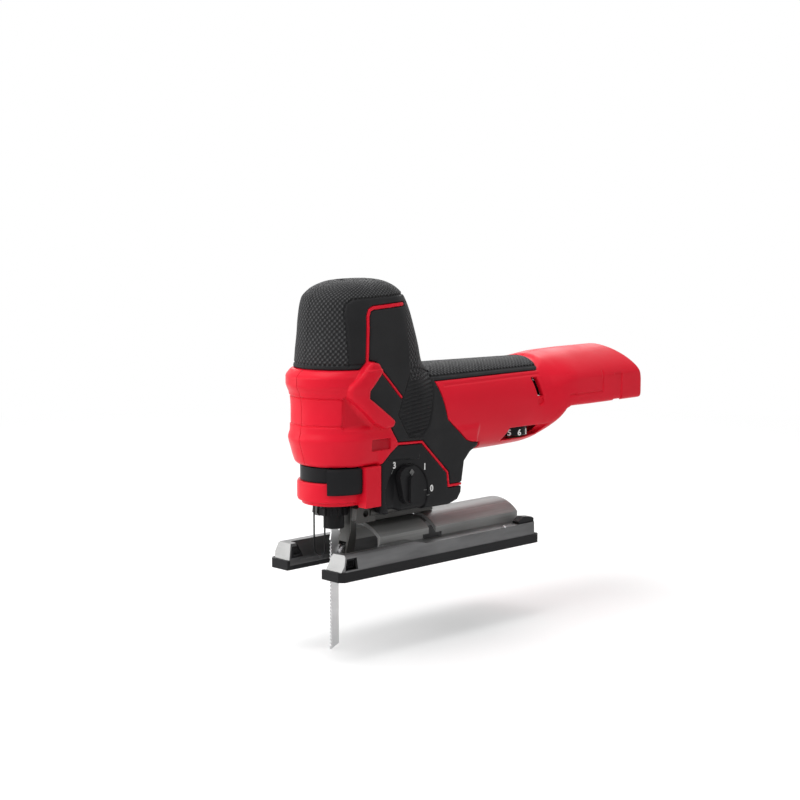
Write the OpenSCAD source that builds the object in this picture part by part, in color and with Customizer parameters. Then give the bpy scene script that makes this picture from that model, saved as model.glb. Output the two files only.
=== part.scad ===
// Barrel-grip cordless jigsaw, without its battery pack.
// Origin: where the blade line crosses the sole plane. +X points to the battery end,
// +Z up, and -Y is the tool's left side. Millimetres.

/* [Shoe] */
// Length of the shoe
shoe_l = 198; // [185:1:210]
// Distance from the blade line forward to the shoe's front end
shoe_front = 27; // [24:1:32]
// Width over both rails
shoe_w = 75; // [74:0.5:76]
// Outer radius of the half-round bevel bridge
bridge_r = 30.4; // [29.8:0.1:30.5]
// Largest bevel angle to either side
bevel_max = 45; // [15:5:45]

/* [Blade and plunger] */
// Length of the blade from the tip to the end of its shank
blade_l = 100; // [75:1:110]
// Width of the blade body
blade_w = 7.4; // [6.5:0.1:7.8]
// Thickness of the blade
blade_t = 1.3; // [1:0.1:1.5]
// Tooth pitch of the blade
tooth_pitch = 2.5; // [2:0.5:4]
// Stroke of the plunger
stroke = 25; // [18:1:26]
// Radius of the plunger rod
rod_r = 4.5; // [4:0.1:5]

/* [Drive] */
// Module of the reduction gear
gear_module = 0.8; // [0.8:0.1:0.8]
// Teeth on the crank gear
gear_teeth = 50; // [50:1:50]
// Teeth on the motor pinion
pinion_teeth = 10; // [10:1:10]
// Height of the motor axis above the sole
motor_z = 105; // [104:0.5:106]
// Outer radius of the motor stator
stator_r = 22; // [20:0.5:22]

/* [Body] */
// Thickness of the rubber overmould
rubber_t = 2; // [1.5:0.1:2.4]
// Thickness of the hard plastic shell under the rubber
wall_t = 2.4; // [2:0.1:2.6]
// Half width of the gear case below the motor
case_half_w = 31; // [30.5:0.1:31.5]
// Half width of the battery foot
foot_half_w = 38; // [37:0.5:38]

/* [Hidden] */
$fa = 6;
$fs = 0.6;
gap = 0.35;              // air between curved faces that move past each other
fit = 0.05;              // running clearance on a radius
ring_n = 28;             // points round one section of the body
cavity_n = 20;           // points round one section of the inside
gear_z = motor_z + gear_module * (gear_teeth + pinion_teeth) / 2;
gear_x = [12, 19];       // front and rear face of the crank gear
crank_z = gear_z - stroke / 2;
blade_tip_z = -56;
clamp_z = 29.4;          // lower face of the blade clamp, plunger fully down
clamp_r = 7.2;
collar_z = [38.7, 45.4];
rod_z = [44.2, 165];
lower_bush_z = [72.6, 81.6];
upper_bush_z = [152, 162];
plate_x = [22, 30];      // front and rear face of the frame plate
plate_half_w = 24;
rail_in = 18.6;          // inner edge of a rail at its foot
rail_h = [17.6, 15.3];   // height of the rails ahead of the bevel screw and behind it
rail_step_x = [45, 56];  // where the rails' top steps down
bridge_x = [24, 164.5];
bridge_half_w = 21;      // the bridge's side walls
bevel_x = 74.8;          // bevel screw
rail_x = 2.4 - shoe_front; // front end of the rails
fence_z = [7.6, 15.2];   // slot for an edge guide's bar
latch_x = 155.2;         // rear latches of the sole
sole_t = 2.6;
cover_lip_z = 6.6;
wire_r = 0.6;
saddle_z = [38.6, 43];
dial_pos = [40, 52];     // orbit dial axis in X and Z
pivot_pos = [20, 62];    // roller arm axis in X and Z
roller_pos = [9.3, 10];
speed_pos = [163, -14.6, 83.4];
body_shell = rubber_t + wall_t;
bracket_t = 3.4;         // height of the red bracket above the head
red = [0.80, 0.08, 0.13];
black = [0.13, 0.13, 0.14];
rubber = [0.19, 0.19, 0.20];
steel = [0.72, 0.73, 0.75];
zinc = [0.42, 0.42, 0.44];
copper = [0.72, 0.42, 0.2];

// Plan sections of the head: height, front circle's X and radius, rear circle's X and radius
HEAD = [
    [74.3, 3.5, 27.4, 60, 26.5],
    [76.7, 3.4, 29.4, 60, 28.5],
    [86, 2.0, 31.0, 60, 29.4],
    [93, 0.8, 31.6, 60, 29.6],
    [98, 1.6, 31.0, 60, 29.6],
    [111, 1.9, 31.0, 56, 30],
    [123, 1.2, 31.2, 52, 30],
    [130, -0.8, 31.8, 48, 30],
    [134.5, -0.8, 31.8, 46, 30],
    [139, 2.4, 31.2, 44, 29.8],
    [140.6, 4.3, 30.6, 43, 29.6],
    [153, 5.9, 30.3, 40.5, 28.9],
    [166, 7.2, 30.0, 37.5, 28],
    [178, 7.4, 29.0, 34.4, 27],
    [187, 7.6, 27.2, 31.6, 25.4],
    [192.5, 9.0, 23.6, 30, 22],
    [196.8, 11.6, 17.6, 28, 16.4],
    [199, 14, 10.6, 26, 10],
    [199.6, 16, 5, 24, 5]
];
// Cross sections of the barrel and foot: X, half width, shoulder height, top, bottom,
// and the squareness of the upper and lower half (2 is an ellipse)
BARREL = [
    [36, 27, 104, 134, 75.1, 2.3, 2.5],
    [60, 30, 104, 136.8, 71.5, 2.4, 2.6],
    [84, 31, 104, 137.6, 71, 2.5, 2.8],
    [130, 31, 104, 136.8, 71, 2.5, 2.8],
    [170, 31, 105, 136, 71.6, 2.5, 2.8],
    [180, 31.4, 107, 135.8, 72.9, 2.4, 2.9],
    [188, 32.8, 110, 136, 75.6, 2.3, 3],
    [195, 35, 113, 136.8, 80, 2.1, 3.4],
    [200, 36.2, 115, 137.5, 85.4, 1.95, 4.4],
    [205, 37.1, 116.4, 138, 92.6, 1.9, 6],
    [209, 37.6, 117.2, 138.4, 96.8, 1.85, 9],
    [214, 37.9, 117.8, 138.7, 97.8, 1.8, 13],
    [240, 38, 118, 139.3, 97.9, 1.75, 16],
    [290, 38, 118, 139.3, 98, 1.75, 16]
];
// Side outline of the gear case under the barrel, in X and Z
CASE = [
    [16, 41], [20, 39.2], [82.5, 38.6], [91, 41], [94.6, 46], [96, 56],
    [98, 68], [104, 74], [112, 78], [112, 92], [16, 92]
];
// Hard cover over the gear case, in X and Z
COVER = [
    [16, 36], [100, 36], [100, 50.9], [80.5, 50.9], [79.3, 61.6], [54.3, 85.3], [30.9, 86.1],
    [24, 81.4], [16, 74]
];
// Red line between the cover and the rubber
PIPING = [[30.5, 87.3], [54.7, 86.2], [80.2, 62], [81.4, 52.2], [99, 52.2]];
// Red line round the smooth panel of the tower
TOWER_LINE = [[3.8, 142], [5.8, 176], [7.6, 179.7], [11, 181.1], [42, 182.4]];
// Red bracket that stands proud between the collar and the side panel
CHEVRON_OUT = [[4, 146], [-6, 137], [-16.4, 129], [-16.8, 122], [6, 104], [16, 98.5], [24.5, 99.5]];
CHEVRON_IN = [[27, 104], [14, 113.5], [2.6, 121.5], [2.6, 126], [15.4, 138.6], [11.5, 144.6]];
// Red field on the side of the barrel
PANEL = [
    [73, 126.4], [180, 126.4], [200, 140], [300, 140], [300, 60], [126, 60], [121, 75.4],
    [118, 79.4], [104, 81.6], [99.6, 83.4], [81, 99.6]
];
// Edge guide's slot in X and Z, from the front end of the rails
FENCE_SLOT = [[2.1, fence_z[0]], [13.8, fence_z[0]], [13.8, fence_z[1]], [4.8, fence_z[1]]];
// Housing screws, in X and Z
SCREWS = [[44, 178], [48, 150], [114, 122], [114, 84], [88, 66], [197, 118]];
// Seam round the raised part of the foot's side, and the band ahead of its rear block
FOOT_SEAM = [[243, 124], [242.4, 107.1], [205.5, 107.1]];
FOOT_BAND = [[256.4, 90], [265.6, 90], [265.6, 119.3], [256.4, 119.3]];
// Red field of the collar, in front of the side panel
COLLAR = [[-60, 60], [31.6, 60], [31.6, 87.4], [24.6, 101], [2, 122], [2, 136], [4, 140.2], [-60, 140.2]];

// ---------- shared forms ----------

// Plan ring of the head: the outline round a front and a rear circle
function head_ring(s, off, n) =
    [for (i = [0 : n - 1])
        let (c = cos(360 * i / n), w = sin(360 * i / n), rf = s[2] - off, rr = s[4] - off)
        s[1] * c + rf > s[3] * c + rr ? [s[1] + rf * c, rf * w, s[0]] : [s[3] + rr * c, rr * w, s[0]]];

function signed_pow(v, p) = sign(v) * pow(abs(v), p);

// Cross ring of the barrel at one X
function barrel_ring(s, off, n) =
    [for (i = [0 : n - 1])
        let (c = cos(360 * i / n), w = sin(360 * i / n), p = 2 / (w > 0 ? s[5] : s[6]))
        [s[0], (s[1] - off) * signed_pow(c, p),
         s[2] + (w > 0 ? s[3] - off - s[2] : s[2] - s[4] - off) * signed_pow(w, p)]];

// Closed solid through rings that all have the same number of points
module loft(rings) {
    n = len(rings[0]);
    m = len(rings);
    sides = [for (k = [0 : m - 2], i = [0 : n - 1])
        [k * n + i, (k + 1) * n + i, (k + 1) * n + (i + 1) % n, k * n + (i + 1) % n]];
    first = [for (i = [0 : n - 1]) i];
    last = [for (i = [n - 1 : -1 : 0]) (m - 1) * n + i];
    polyhedron([for (r = rings) each r], concat([first], sides, [last]), convexity = 6);
}

module head(off, n) {
    top = HEAD[len(HEAD) - 1][0];
    loft([for (s = HEAD) if (s[4] > off + 1 && s[0] <= top - off * 0.6)
        head_ring([s[0] - (s[0] > 186 ? off : 0), s[1], s[2], s[3], s[4]], off, n)]);
}

module barrel(off, n) {
    loft([for (s = BARREL) barrel_ring(s, off, n)]);
}

// Slab that stands across the tool, from an outline in X and Z
module across(outline, y0, y1) {
    translate([0, y1, 0]) rotate([90, 0, 0]) linear_extrude(y1 - y0) polygon(outline);
}

module gear_case(off) {
    edge = 2.4;
    for (e = [0, edge])
        translate([0, case_half_w - off - edge + e, 0]) rotate([90, 0, 0])
            linear_extrude(2 * (case_half_w - off - edge + e)) offset(delta = -off - e) polygon(CASE);
}

// The rear edge of the foot leans forward above the battery rails
module foot_rear_cut(off) {
    across([[290 - off, 80], [330, 80], [330, 160], [266 - off, 160], [290 - off, 118]], -60, 60);
}

// The outside of the body, moved inward by off
module body_form(off, n) {
    difference() {
        union() {
            head(off, n);
            barrel(off, n);
            gear_case(off);
        }
        foot_rear_cut(off);
    }
}

// Half space of one side: -1 is left, 1 is right
module side_half(side) {
    translate([-60, side < 0 ? -60 : 0, -10]) cube([400, 60, 250]);
}

// Strip of one width along a line in X and Z, right across one side
module side_strip(line, w) {
    for (i = [0 : len(line) - 2])
        rotate([90, 0, 0]) linear_extrude(120, center = true) hull() {
            translate(line[i]) circle(w / 2, $fn = 12);
            translate(line[i + 1]) circle(w / 2, $fn = 12);
        }
}

module red_fields() {
    across(COLLAR, -60, 60);
    across(PANEL, -60, 60);
    across(concat(CHEVRON_OUT, CHEVRON_IN), -60, 60);
    side_strip(PIPING, 1.8);
    side_strip(TOWER_LINE, 2.5);
    side_strip([[14, 141], [35.4, 120]], 1.6);
}

// The bracket above the surface of the head
module raised_bracket() {
    intersection() {
        body_form(-bracket_t, ring_n);
        rotate([90, 0, 0]) linear_extrude(120, center = true)
            offset(delta = -0.25) polygon(concat(CHEVRON_OUT, CHEVRON_IN));
    }
}

// Shallow marks on the outside: front panel, small side plate, seam and band of the foot
module surface_marks() {
    difference() {
        translate([-60, -22.6, 102.4]) cube([50.6, 45.2, 18.8]);
        translate([1.5, 0, 90]) cylinder(40, r = 30.4, $fn = 90);
    }
    for (y = [-60, 30.1])
        translate([7.4, y, 84.7]) cube([16.6, 29.9, 7.7]);
    for (side = [0, 1]) mirror([0, side, 0]) {
        across(FOOT_BAND, 37.1, 60);
        intersection() {
            side_strip(FOOT_SEAM, 0.9);
            translate([180, 37.35, 80]) cube([100, 20, 60]);
        }
    }
}

// Window for the speed wheel, in the left side
module speed_window() {
    across([[142, 77.4], [183, 79.6], [187, 87.9], [144, 87.9]], -60, -18);
}

// Air slots at the rear of the barrel
module vent_slots() {
    for (side = [-1, 1])
        across([[173, 108], [177.5, 108], [179.6, 122], [174.6, 122]], side < 0 ? -60 : 20, side < 0 ? -20 : 60);
}

// Bay for the battery pack's head
module battery_bay() {
    translate([204, -34.6, 90]) cube([100, 69.2, 34]);
    translate([204, -24, 120]) cube([100, 48, 11]);
}

module screw_posts(r, y0, y1) {
    for (p = SCREWS)
        translate([p[0], y1, p[1]]) rotate([90, 0, 0]) cylinder(y1 - y0, r = r, $fn = 20);
}
// Ribs inside the shell that carry the frame, the motor and the electronics
module inner_ribs() {
    intersection() {
        body_form(rubber_t + 0.4, cavity_n);
        union() {
            for (side = [-1, 1])
                translate([plate_x[0], side < 0 ? -60 : plate_half_w, 84])
                    cube([plate_x[1] - plate_x[0], 60 - plate_half_w, 76]);
            for (x = [60, 84, 105, 124, 145])
                translate([x, -60, 66]) cube([3, 120, 80]);
            screw_posts(4, -60, 60);
        }
    }
}

module inner_spaces() {
    seat = 1 / cos(180 / 48);
    translate([40, 0, motor_z]) rotate([0, 90, 0]) cylinder(64, r = stator_r * seat, $fn = 48);
    translate([100, 0, motor_z]) rotate([0, 90, 0]) cylinder(9.5, r = 7.5 * seat, $fn = 48);
    translate([117, -21, 84]) cube([34, 42, 36]);
    translate(speed_pos - [0, 0, 5]) cylinder(10, r = 11.8);
    translate([speed_pos[0] - 10, speed_pos[1] - 7, 75]) cube([20, 14, 4]);
    battery_bay();
}

// ---------- casings ----------

module housing_half(side) {
    // The shell's free-form surfaces are cut as one closed mesh
    resize([0, 0, 0]) difference() {
        union() {
            difference() {
                union() {
                    body_form(rubber_t, ring_n);
                    intersection() {
                        body_form(0, ring_n);
                        red_fields();
                    }
                    raised_bracket();
                }
                body_form(body_shell, cavity_n);
            }
            inner_ribs();
        }
        side_half(-side);
        across(COVER, -60, 60);
        translate([-10, -23.5, 70]) cube([70, 47, 9]);
        inner_spaces();
        surface_marks();
        screw_posts(1.6, -22, 60);
        screw_posts(3.4, 12, 60);
        vent_slots();
        if (side < 0) speed_window();
        if (side > 0) translate([101.5, 15, 107.4]) cube([19, 50, 8]);
    }
}

module housing_left() {
    color(red) housing_half(-1);
}

module housing_right() {
    color(red) housing_half(1);
}

module grip_half(side) {
    resize([0, 0, 0]) difference() {
        body_form(0, ring_n);
        body_form(rubber_t, ring_n);
        red_fields();
        across(COVER, -60, 60);
        across([[199, 60], [300, 60], [300, 160], [199, 160]], -60, 60);
        across([[188, 132], [300, 120], [300, 160], [188, 160]], -60, 60);
        side_half(-side);
        screw_posts(3.4, 12, 60);
        if (side > 0) translate([101.5, 15, 107.4]) cube([19, 50, 8]);
    }
}

module grip_left() {
    color(rubber) grip_half(-1);
}

module grip_right() {
    color(rubber) grip_half(1);
}

module side_cover(side) {
    resize([0, 0, 0]) difference() {
        intersection() {
            gear_case(0);
            across(COVER, -60, 60);
        }
        gear_case(body_shell);
        side_half(-side);
        translate([0, -23.8, 30]) cube([120, 47.6, 14.6]);
        translate([0, -23.5, 30]) cube([21, 47, 60]);
        if (side < 0)
            translate([dial_pos[0], -20, dial_pos[1]]) rotate([90, 0, 0]) {
                cylinder(30, r = 5.4, $fn = 40);
                translate([0, 0, 10.2]) cylinder(10, r = 20.6, $fn = 60);
            }
    }
}

module side_cover_left() {
    color(black) side_cover(-1);
}

module side_cover_right() {
    color(black) side_cover(1);
}

// Lower red ring that shields the blade clamp, with a post up each side
module front_guard() {
    color(red) difference() {
        union() {
            rotate_extrude() polygon([
                [19, 47.4], [21.8, 47.4], [22.2, 49.6], [24.6, 50.2], [25.1, 52], [25.1, 62], [24.4, 63.4],
                [20.4, 63.4], [20.4, 59], [19, 59]
            ]);
            for (side = [-1, 1]) {
                translate([1.5, side < 0 ? -case_half_w : 23.2, 46]) cube([14.2, case_half_w - 23.2, 28]);
                translate([1.5, side < 0 ? -24 : 17, 47.4]) cube([14.2, 7, 11.6]);
            }
        }
        translate([8, -17, 40]) cube([30, 34, 40]);
        translate([15.7, -40, 40]) cube([30, 80, 40]);
    }
}

// Fixed black sleeve round the plunger, which the release lever turns on
module nose_sleeve() {
    color(black) difference() {
        translate([0, 0, 59]) cylinder(15, r = 20.4);
        translate([0, 0, 50]) cylinder(21.6, r = 11.8);
        translate([0, 0, 60]) cylinder(20, r = 7);
        translate([6, -9.6, 50]) cube([30, 19.2, 40]);
        translate([-10, -8.4, 72]) cube([40, 16.8, 10]);
        for (y = [-5.5, 5.5])
            translate([-13.2, y, 50]) cylinder(16, r = wire_r);
    }
}

// Bent wire in front of the blade that keeps fingers away
module wire_guard() {
    color(black) translate([-13.2, 0, 0]) {
        for (y = [-5.5, 5.5])
            translate([0, y, 16]) cylinder(50, r = wire_r);
        translate([0, 0, 16]) rotate([0, 90, 0]) rotate([0, 0, -90]) rotate_extrude(angle = 180)
            translate([5.5, 0]) circle(wire_r);
    }
}

// Cast foot of the gear case: its keel bears on the bevel bridge
module saddle() {
    color(zinc) difference() {
        union() {
            translate([18, -20, saddle_z[0]]) cube([73, 40, saddle_z[1] - saddle_z[0]]);
            translate([24, -5, 29]) cube([67, 10, 11]);
            for (y = [-20.2, 20.2]) {
                translate([13, y, 41]) rotate([0, 90, 0]) cylinder(78, r = 3.4);
                across([[0, 37], [2.4, 34.5], [18, 34.5], [18, 44], [13, 46.2], [4, 46.2], [1, 44.6]],
                    y - 2.4, y + 2.4);
            }
        }
        rotate([0, 90, 0]) cylinder(140, r = bridge_r + gap);
        for (y = [-30, 14])
            translate([9, y, 40.6]) rotate([-90, 0, 0]) cylinder(16, r = 2.4);
        translate([bevel_x, 0, 20]) cylinder(30, r = 3.1);
    }
}

// ---------- frame, bushes and bearings ----------

module gear_frame() {
    arm_half_w = 8;
    color(zinc) difference() {
        union() {
            translate([plate_x[0], -plate_half_w, 84]) cube([plate_x[1] - plate_x[0], 2 * plate_half_w, 72]);
            translate([plate_x[0], -12, 56]) cube([plate_x[1] - plate_x[0], 24, 108]);
            for (z = [lower_bush_z, upper_bush_z]) {
                translate([0, -arm_half_w, z[0]]) cube([24, 2 * arm_half_w, z[1] - z[0]]);
                translate([0, 0, z[0]]) cylinder(z[1] - z[0], r = arm_half_w);
            }
            for (y = [-9.2, 6.2])
                translate([16.4, y, 57]) cube([8, 3, 15]);
        }
        for (z = [lower_bush_z, upper_bush_z])
            translate([0, 0, z[0] - 1]) cylinder(z[1] - z[0] + 2, r = rod_r + 2);
        translate([21, 0, motor_z]) rotate([0, 90, 0]) cylinder(12, r = 4.6);
        translate([23.6, 0, motor_z]) rotate([0, 90, 0]) cylinder(12, r = 8);
        translate([21, 0, gear_z]) rotate([0, 90, 0]) cylinder(12, r = 7.4);
        translate([23.6, 0, gear_z]) rotate([0, 90, 0]) cylinder(12, r = 11);
        translate([pivot_pos[0], 20, pivot_pos[1]]) rotate([90, 0, 0]) cylinder(40, r = 2);
        translate([21, -6.2, 50]) cube([10, 12.4, 20]);
        for (y = [-19, 19], z = [90, 148])
            translate([21, y, z]) rotate([0, 90, 0]) cylinder(12, r = 2.1);
    }
}

module bush(z) {
    difference() {
        translate([0, 0, z[0]]) cylinder(z[1] - z[0], r = rod_r + 2);
        translate([0, 0, z[0] - 1]) cylinder(z[1] - z[0] + 2, r = rod_r + fit);
    }
}

module upper_bush() {
    color("tan") bush(upper_bush_z);
}

module lower_bush() {
    color("tan") bush(lower_bush_z);
}

module plunger_seal() {
    color(rubber) translate([0, 0, lower_bush_z[1]]) difference() {
        cylinder(3, r = 7.4);
        translate([0, 0, -1]) cylinder(5, r = rod_r + fit);
    }
}

module roller_pivot() {
    color(steel) translate([pivot_pos[0], 9.2, pivot_pos[1]]) rotate([90, 0, 0]) cylinder(18.4, r = 2);
}

// Ball bearing with its bore along X
module bearing(x, z, bore_r, outer_r, w) {
    color(steel) translate([x, 0, z]) rotate([0, 90, 0]) difference() {
        cylinder(w, r = outer_r);
        translate([0, 0, -1]) cylinder(w + 2, r = bore_r);
        for (s = [-0.01, w - 0.79])
            translate([0, 0, s]) difference() {
                cylinder(0.8, r = outer_r - 1.4);
                translate([0, 0, -1]) cylinder(3, r = bore_r + 1.2);
            }
    }
}

module front_bearing() {
    bearing(23.6, motor_z, 2.5 + fit, 8, 6.4);
}

module rear_bearing() {
    bearing(103, motor_z, 2.5 + fit, 7.5, 6);
}

module gear_bearing() {
    bearing(23.6, gear_z, 5 + fit, 11, 6.4);
}

// ---------- motor and electronics ----------

module stator_core() {
    slots = 6;
    color("dimgray") translate([54, 0, motor_z]) rotate([0, 90, 0]) difference() {
        cylinder(34, r = stator_r);
        translate([0, 0, -1]) cylinder(36, r = 11.5);
        for (i = [0 : slots - 1])
            rotate(i * 360 / slots) {
                translate([9, -1, -1]) cube([9, 2, 36]);
                translate([13, -4, -1]) cube([5.5, 8, 36]);
            }
    }
}

// End turns of the windings, one bundle round each tooth of the core
module stator_coils() {
    slots = 6;
    color(copper) translate([0, 0, motor_z]) rotate([0, 90, 0])
        for (x = [47.5, 88.2], i = [0 : slots - 1])
            translate([0, 0, x]) rotate((i + 0.5) * 360 / slots) translate([12.6, -4.6, 0]) cube([6, 9.2, 6.3]);
}

module control_module() {
    color("silver") difference() {
        translate([118, -20, 85]) cube([32, 40, 24]);
        translate([120, -18, 88]) cube([28, 36, 24]);
    }
    color(black) translate([120, -18, 88]) cube([28, 36, 18]);
}

module switch_module() {
    color(black) {
        translate([118, -12, 110.5]) cube([36, 24, 9]);
        translate([121, 12, 112]) cube([10, 5, 5]);
    }
}

// Sensor board that reads the speed wheel
module speed_sensor() {
    color("darkgreen") translate([speed_pos[0] - 9, speed_pos[1] - 6, 76.4]) cube([18, 12, 1.6]);
}

// Contact block of the battery bay: blades between ribs
module terminal_block() {
    color(black) {
        translate([206, -22, 112]) cube([10, 44, 16]);
        translate([206, -16, 104]) cube([24, 32, 8]);
    }
    color(copper) for (y = [-12, -4, 4, 12])
        translate([230, y - 0.5, 105.4]) cube([12, 1, 5.2]);
}

// ---------- fasteners ----------

module screw_y(x, z, y_head, l, r) {
    translate([x, y_head, z]) rotate([90, 0, 0]) {
        difference() {
            cylinder(2.4, r = 2 * r);
            translate([0, 0, -0.6]) cylinder(2, r = r, $fn = 6);
        }
        translate([0, 0, 2.4]) cylinder(l, r = r);
    }
}

module housing_screws() {
    color(steel) for (p = SCREWS) screw_y(p[0], p[1], 14.4, 30, 1.55);
}

module frame_screws() {
    color(steel) for (y = [-19, 19], z = [90, 148]) translate([30, y, z]) rotate([0, -90, 0]) {
        translate([0, 0, -2.6]) cylinder(2.6, r = 3.6);
        cylinder(11, r = 2.05);
    }
}

module bevel_screw() {
    color(steel) difference() {
        union() {
            translate([bevel_x, 0, 18.4]) cylinder(4.2, r = 5);
            translate([bevel_x, 0, 22.6]) cylinder(20.4, r = 3);
        }
        translate([bevel_x, 0, 17]) cylinder(4.4, r = 2.9, $fn = 6);
    }
}

module clamp_plate() {
    color(zinc) difference() {
        intersection() {
            rotate([0, 90, 0]) difference() {
                cylinder(100, r = 27.2);
                translate([0, 0, -1]) cylinder(102, r = 24);
            }
            translate([bevel_x - 8.4, -6.6, 22.6]) cube([16.8, 13.2, 8]);
        }
        translate([bevel_x, 0, 10]) cylinder(30, r = 3.05);
    }
}

// ---------- turning parts of the drive ----------

module rotor_shaft() {
    color(steel) translate([11.4, 0, motor_z]) rotate([0, 90, 0]) cylinder(98.4, r = 2.5);
}

module rotor_core() {
    color("slategray") translate([55, 0, motor_z]) rotate([0, 90, 0]) difference() {
        cylinder(32, r = 11);
        translate([0, 0, -1]) cylinder(34, r = 2.5);
    }
}

module fan() {
    blades = 11;
    color(black) translate([36, 0, motor_z]) rotate([0, 90, 0]) difference() {
        union() {
            cylinder(1.6, r = 20);
            cylinder(9, r = 5);
            for (i = [0 : blades - 1])
                rotate(i * 360 / blades) translate([11.5, 0, 1]) rotate(28) translate([-7, -0.6, 0]) cube([14, 1.2, 7.6]);
        }
        translate([0, 0, -1]) cylinder(12, r = 2.5);
    }
}

// Half the angle that a tooth takes up at radius r, for an involute flank
function tooth_half(r, r_pitch, r_base, teeth) =
    let (at = function(q) let (a = acos(min(1, r_base / q))) tan(a) * 180 / PI - a)
    90 / teeth - 1.2 / teeth + at(r_pitch) - at(max(r, r_base));

// Outline of one involute spur gear
module gear_outline(teeth, m, pressure = 20) {
    r_pitch = m * teeth / 2;
    r_base = r_pitch * cos(pressure);
    r_tip = r_pitch + 0.95 * m;
    r_root = r_pitch - 1.2 * m;
    steps = [for (k = [0 : 3]) lerp(max(r_base, r_root), r_tip, k / 3)];
    up = [for (r = steps) [r, tooth_half(r, r_pitch, r_base, teeth)]];
    down = [for (k = [3 : -1 : 0]) up[k]];
    polygon([for (i = [0 : teeth - 1]) each concat(
        [polar(r_root, i * 360 / teeth - up[0][1])],
        [for (p = up) polar(p[0], i * 360 / teeth - p[1])],
        [for (p = down) polar(p[0], i * 360 / teeth + p[1])],
        [polar(r_root, i * 360 / teeth + up[0][1])]
    )]);
}

function lerp(a, b, t) = a + (b - a) * t;
function polar(r, a) = [r * cos(a), r * sin(a)];

module pinion() {
    color(steel) translate([gear_x[0], 0, motor_z]) rotate([0, 90, 0]) difference() {
        linear_extrude(gear_x[1] - gear_x[0]) rotate(180 / pinion_teeth) gear_outline(pinion_teeth, gear_module);
        translate([0, 0, -1]) cylinder(12, r = 2.5);
    }
}

module drive_gear() {
    color(steel) translate([gear_x[0], 0, gear_z]) rotate([0, 90, 0]) difference() {
        union() {
            linear_extrude(gear_x[1] - gear_x[0]) gear_outline(gear_teeth, gear_module);
            cylinder(18.4, r = 5);
            translate([0, 0, gear_x[1] - gear_x[0]]) cylinder(2.4, r = 6.6);
        }
        for (a = [60 : 60 : 300])
            rotate(a) translate([12.4, 0, -1]) cylinder(20, r = 3);
        translate([stroke / 2, 0, -1]) cylinder(20, r = 2);
    }
}

// Crank pin with its roller: it stops just behind the yoke's slot
module crank_roller() {
    color("gold") translate([0, 0, crank_z]) rotate([0, 90, 0]) {
        translate([0, 0, gear_x[0]]) cylinder(5, r = 2);
        translate([0, 0, 9.4]) cylinder(gear_x[0] - 9.4, r = 4);
    }
}

// ---------- plunger, clamp and blade ----------

module plunger_rod() {
    color(steel) translate([0, 0, rod_z[0]]) cylinder(rod_z[1] - rod_z[0], r = rod_r);
}

// Slotted cross-head that the crank roller drives
module yoke() {
    slot_half = stroke / 2 + 4.5;
    color(zinc) difference() {
        union() {
            hull() for (y = [-slot_half, slot_half])
                translate([5.6, y, crank_z]) rotate([0, 90, 0]) cylinder(3.4, r = 7);
            translate([0, 0, crank_z - 6.6]) cylinder(13.2, r = 7.4);
        }
        hull() for (y = [-slot_half + 4, slot_half - 4])
            translate([5, y, crank_z]) rotate([0, 90, 0]) cylinder(5, r = 4.1);
        translate([0, 0, crank_z - 8]) cylinder(16, r = rod_r);
        translate([9, -30, crank_z - 20]) cube([20, 60, 40]);
    }
}

module clamp_body() {
    slot_w = blade_t + 0.2;
    color(black) difference() {
        union() {
            translate([0, 0, clamp_z]) cylinder(collar_z[0] - clamp_z, r = clamp_r);
            translate([0, 0, clamp_z]) cylinder(rod_z[0] + 2.8 - clamp_z, r = 6.2);
        }
        translate([0, 0, rod_z[0]]) cylinder(6, r = rod_r);
        translate([-4.4, -slot_w / 2, clamp_z - 1]) cube([8.8, slot_w, 16]);
    }
}

module clamp_collar() {
    color(black) translate([0, 0, collar_z[0]]) difference() {
        union() {
            cylinder(collar_z[1] - collar_z[0], r = 9.4);
            rotate(180) translate([0, -2.6, 0]) cube([11, 5.2, 5]);
            for (a = [20 : 20 : 140], s = [-1, 1])
                rotate(s * a) translate([9.2, 0, 0]) cylinder(5, r = 0.8, $fn = 16);
        }
        translate([0, 0, -1]) cylinder(12, r = 6.2 + fit);
    }
}

// Blade outline in X and Z: teeth on the front edge and a tanged shank on top
module blade() {
    front = -blade_w / 2;
    rear = blade_w / 2;
    top = blade_tip_z + blade_l;
    first_tooth = blade_tip_z + 2;
    teeth = floor((22 - first_tooth) / tooth_pitch);
    cut = [for (i = [0 : teeth - 1]) each [
        [front, first_tooth + i * tooth_pitch],
        [front + 1.1, first_tooth + i * tooth_pitch + 0.5]
    ]];
    shank = [
        [front, first_tooth + teeth * tooth_pitch], [-2.7, 26], [-2.7, 31.6], [-3.9, 33], [-3.9, 36.4],
        [-2.4, 37.4], [-2.4, top - 1], [-1.6, top], [1.6, top], [2.4, top - 1], [2.4, 37.4],
        [3.9, 36.4], [3.9, 33], [2.9, 31.6], [2.9, 28.6], [5.4, 25], [rear, 22]
    ];
    color("gainsboro")
        across(concat([[front, blade_tip_z]], cut, shank, [[rear, blade_tip_z + 3.2]]), -blade_t / 2, blade_t / 2);
}

// ---------- controls ----------

// Lever that turns on the nose sleeve; its paddle stands outside the lower ring
module release_lever() {
    color(black) difference() {
        union() {
            translate([0, 0, 63.8]) rotate(95) rotate_extrude(angle = 178) translate([20.4 + gap, 0])
                square([2.2, 9.8]);
            translate([0, 0, 63.8]) rotate(-141) rotate_extrude(angle = 57) translate([22, 0])
                square([4, 9]);
            translate([0, 0, 55.8]) rotate(-141) rotate_extrude(angle = 57) polygon([
                [25.6, 0], [27.2, 0], [28.1, 1.2], [28.5, 9], [28.2, 16.4], [27.2, 17.8], [25.6, 17.8]
            ]);
        }
        translate([0.6, -40, 50]) cube([30, 17.1, 40]);
    }
}

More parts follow.
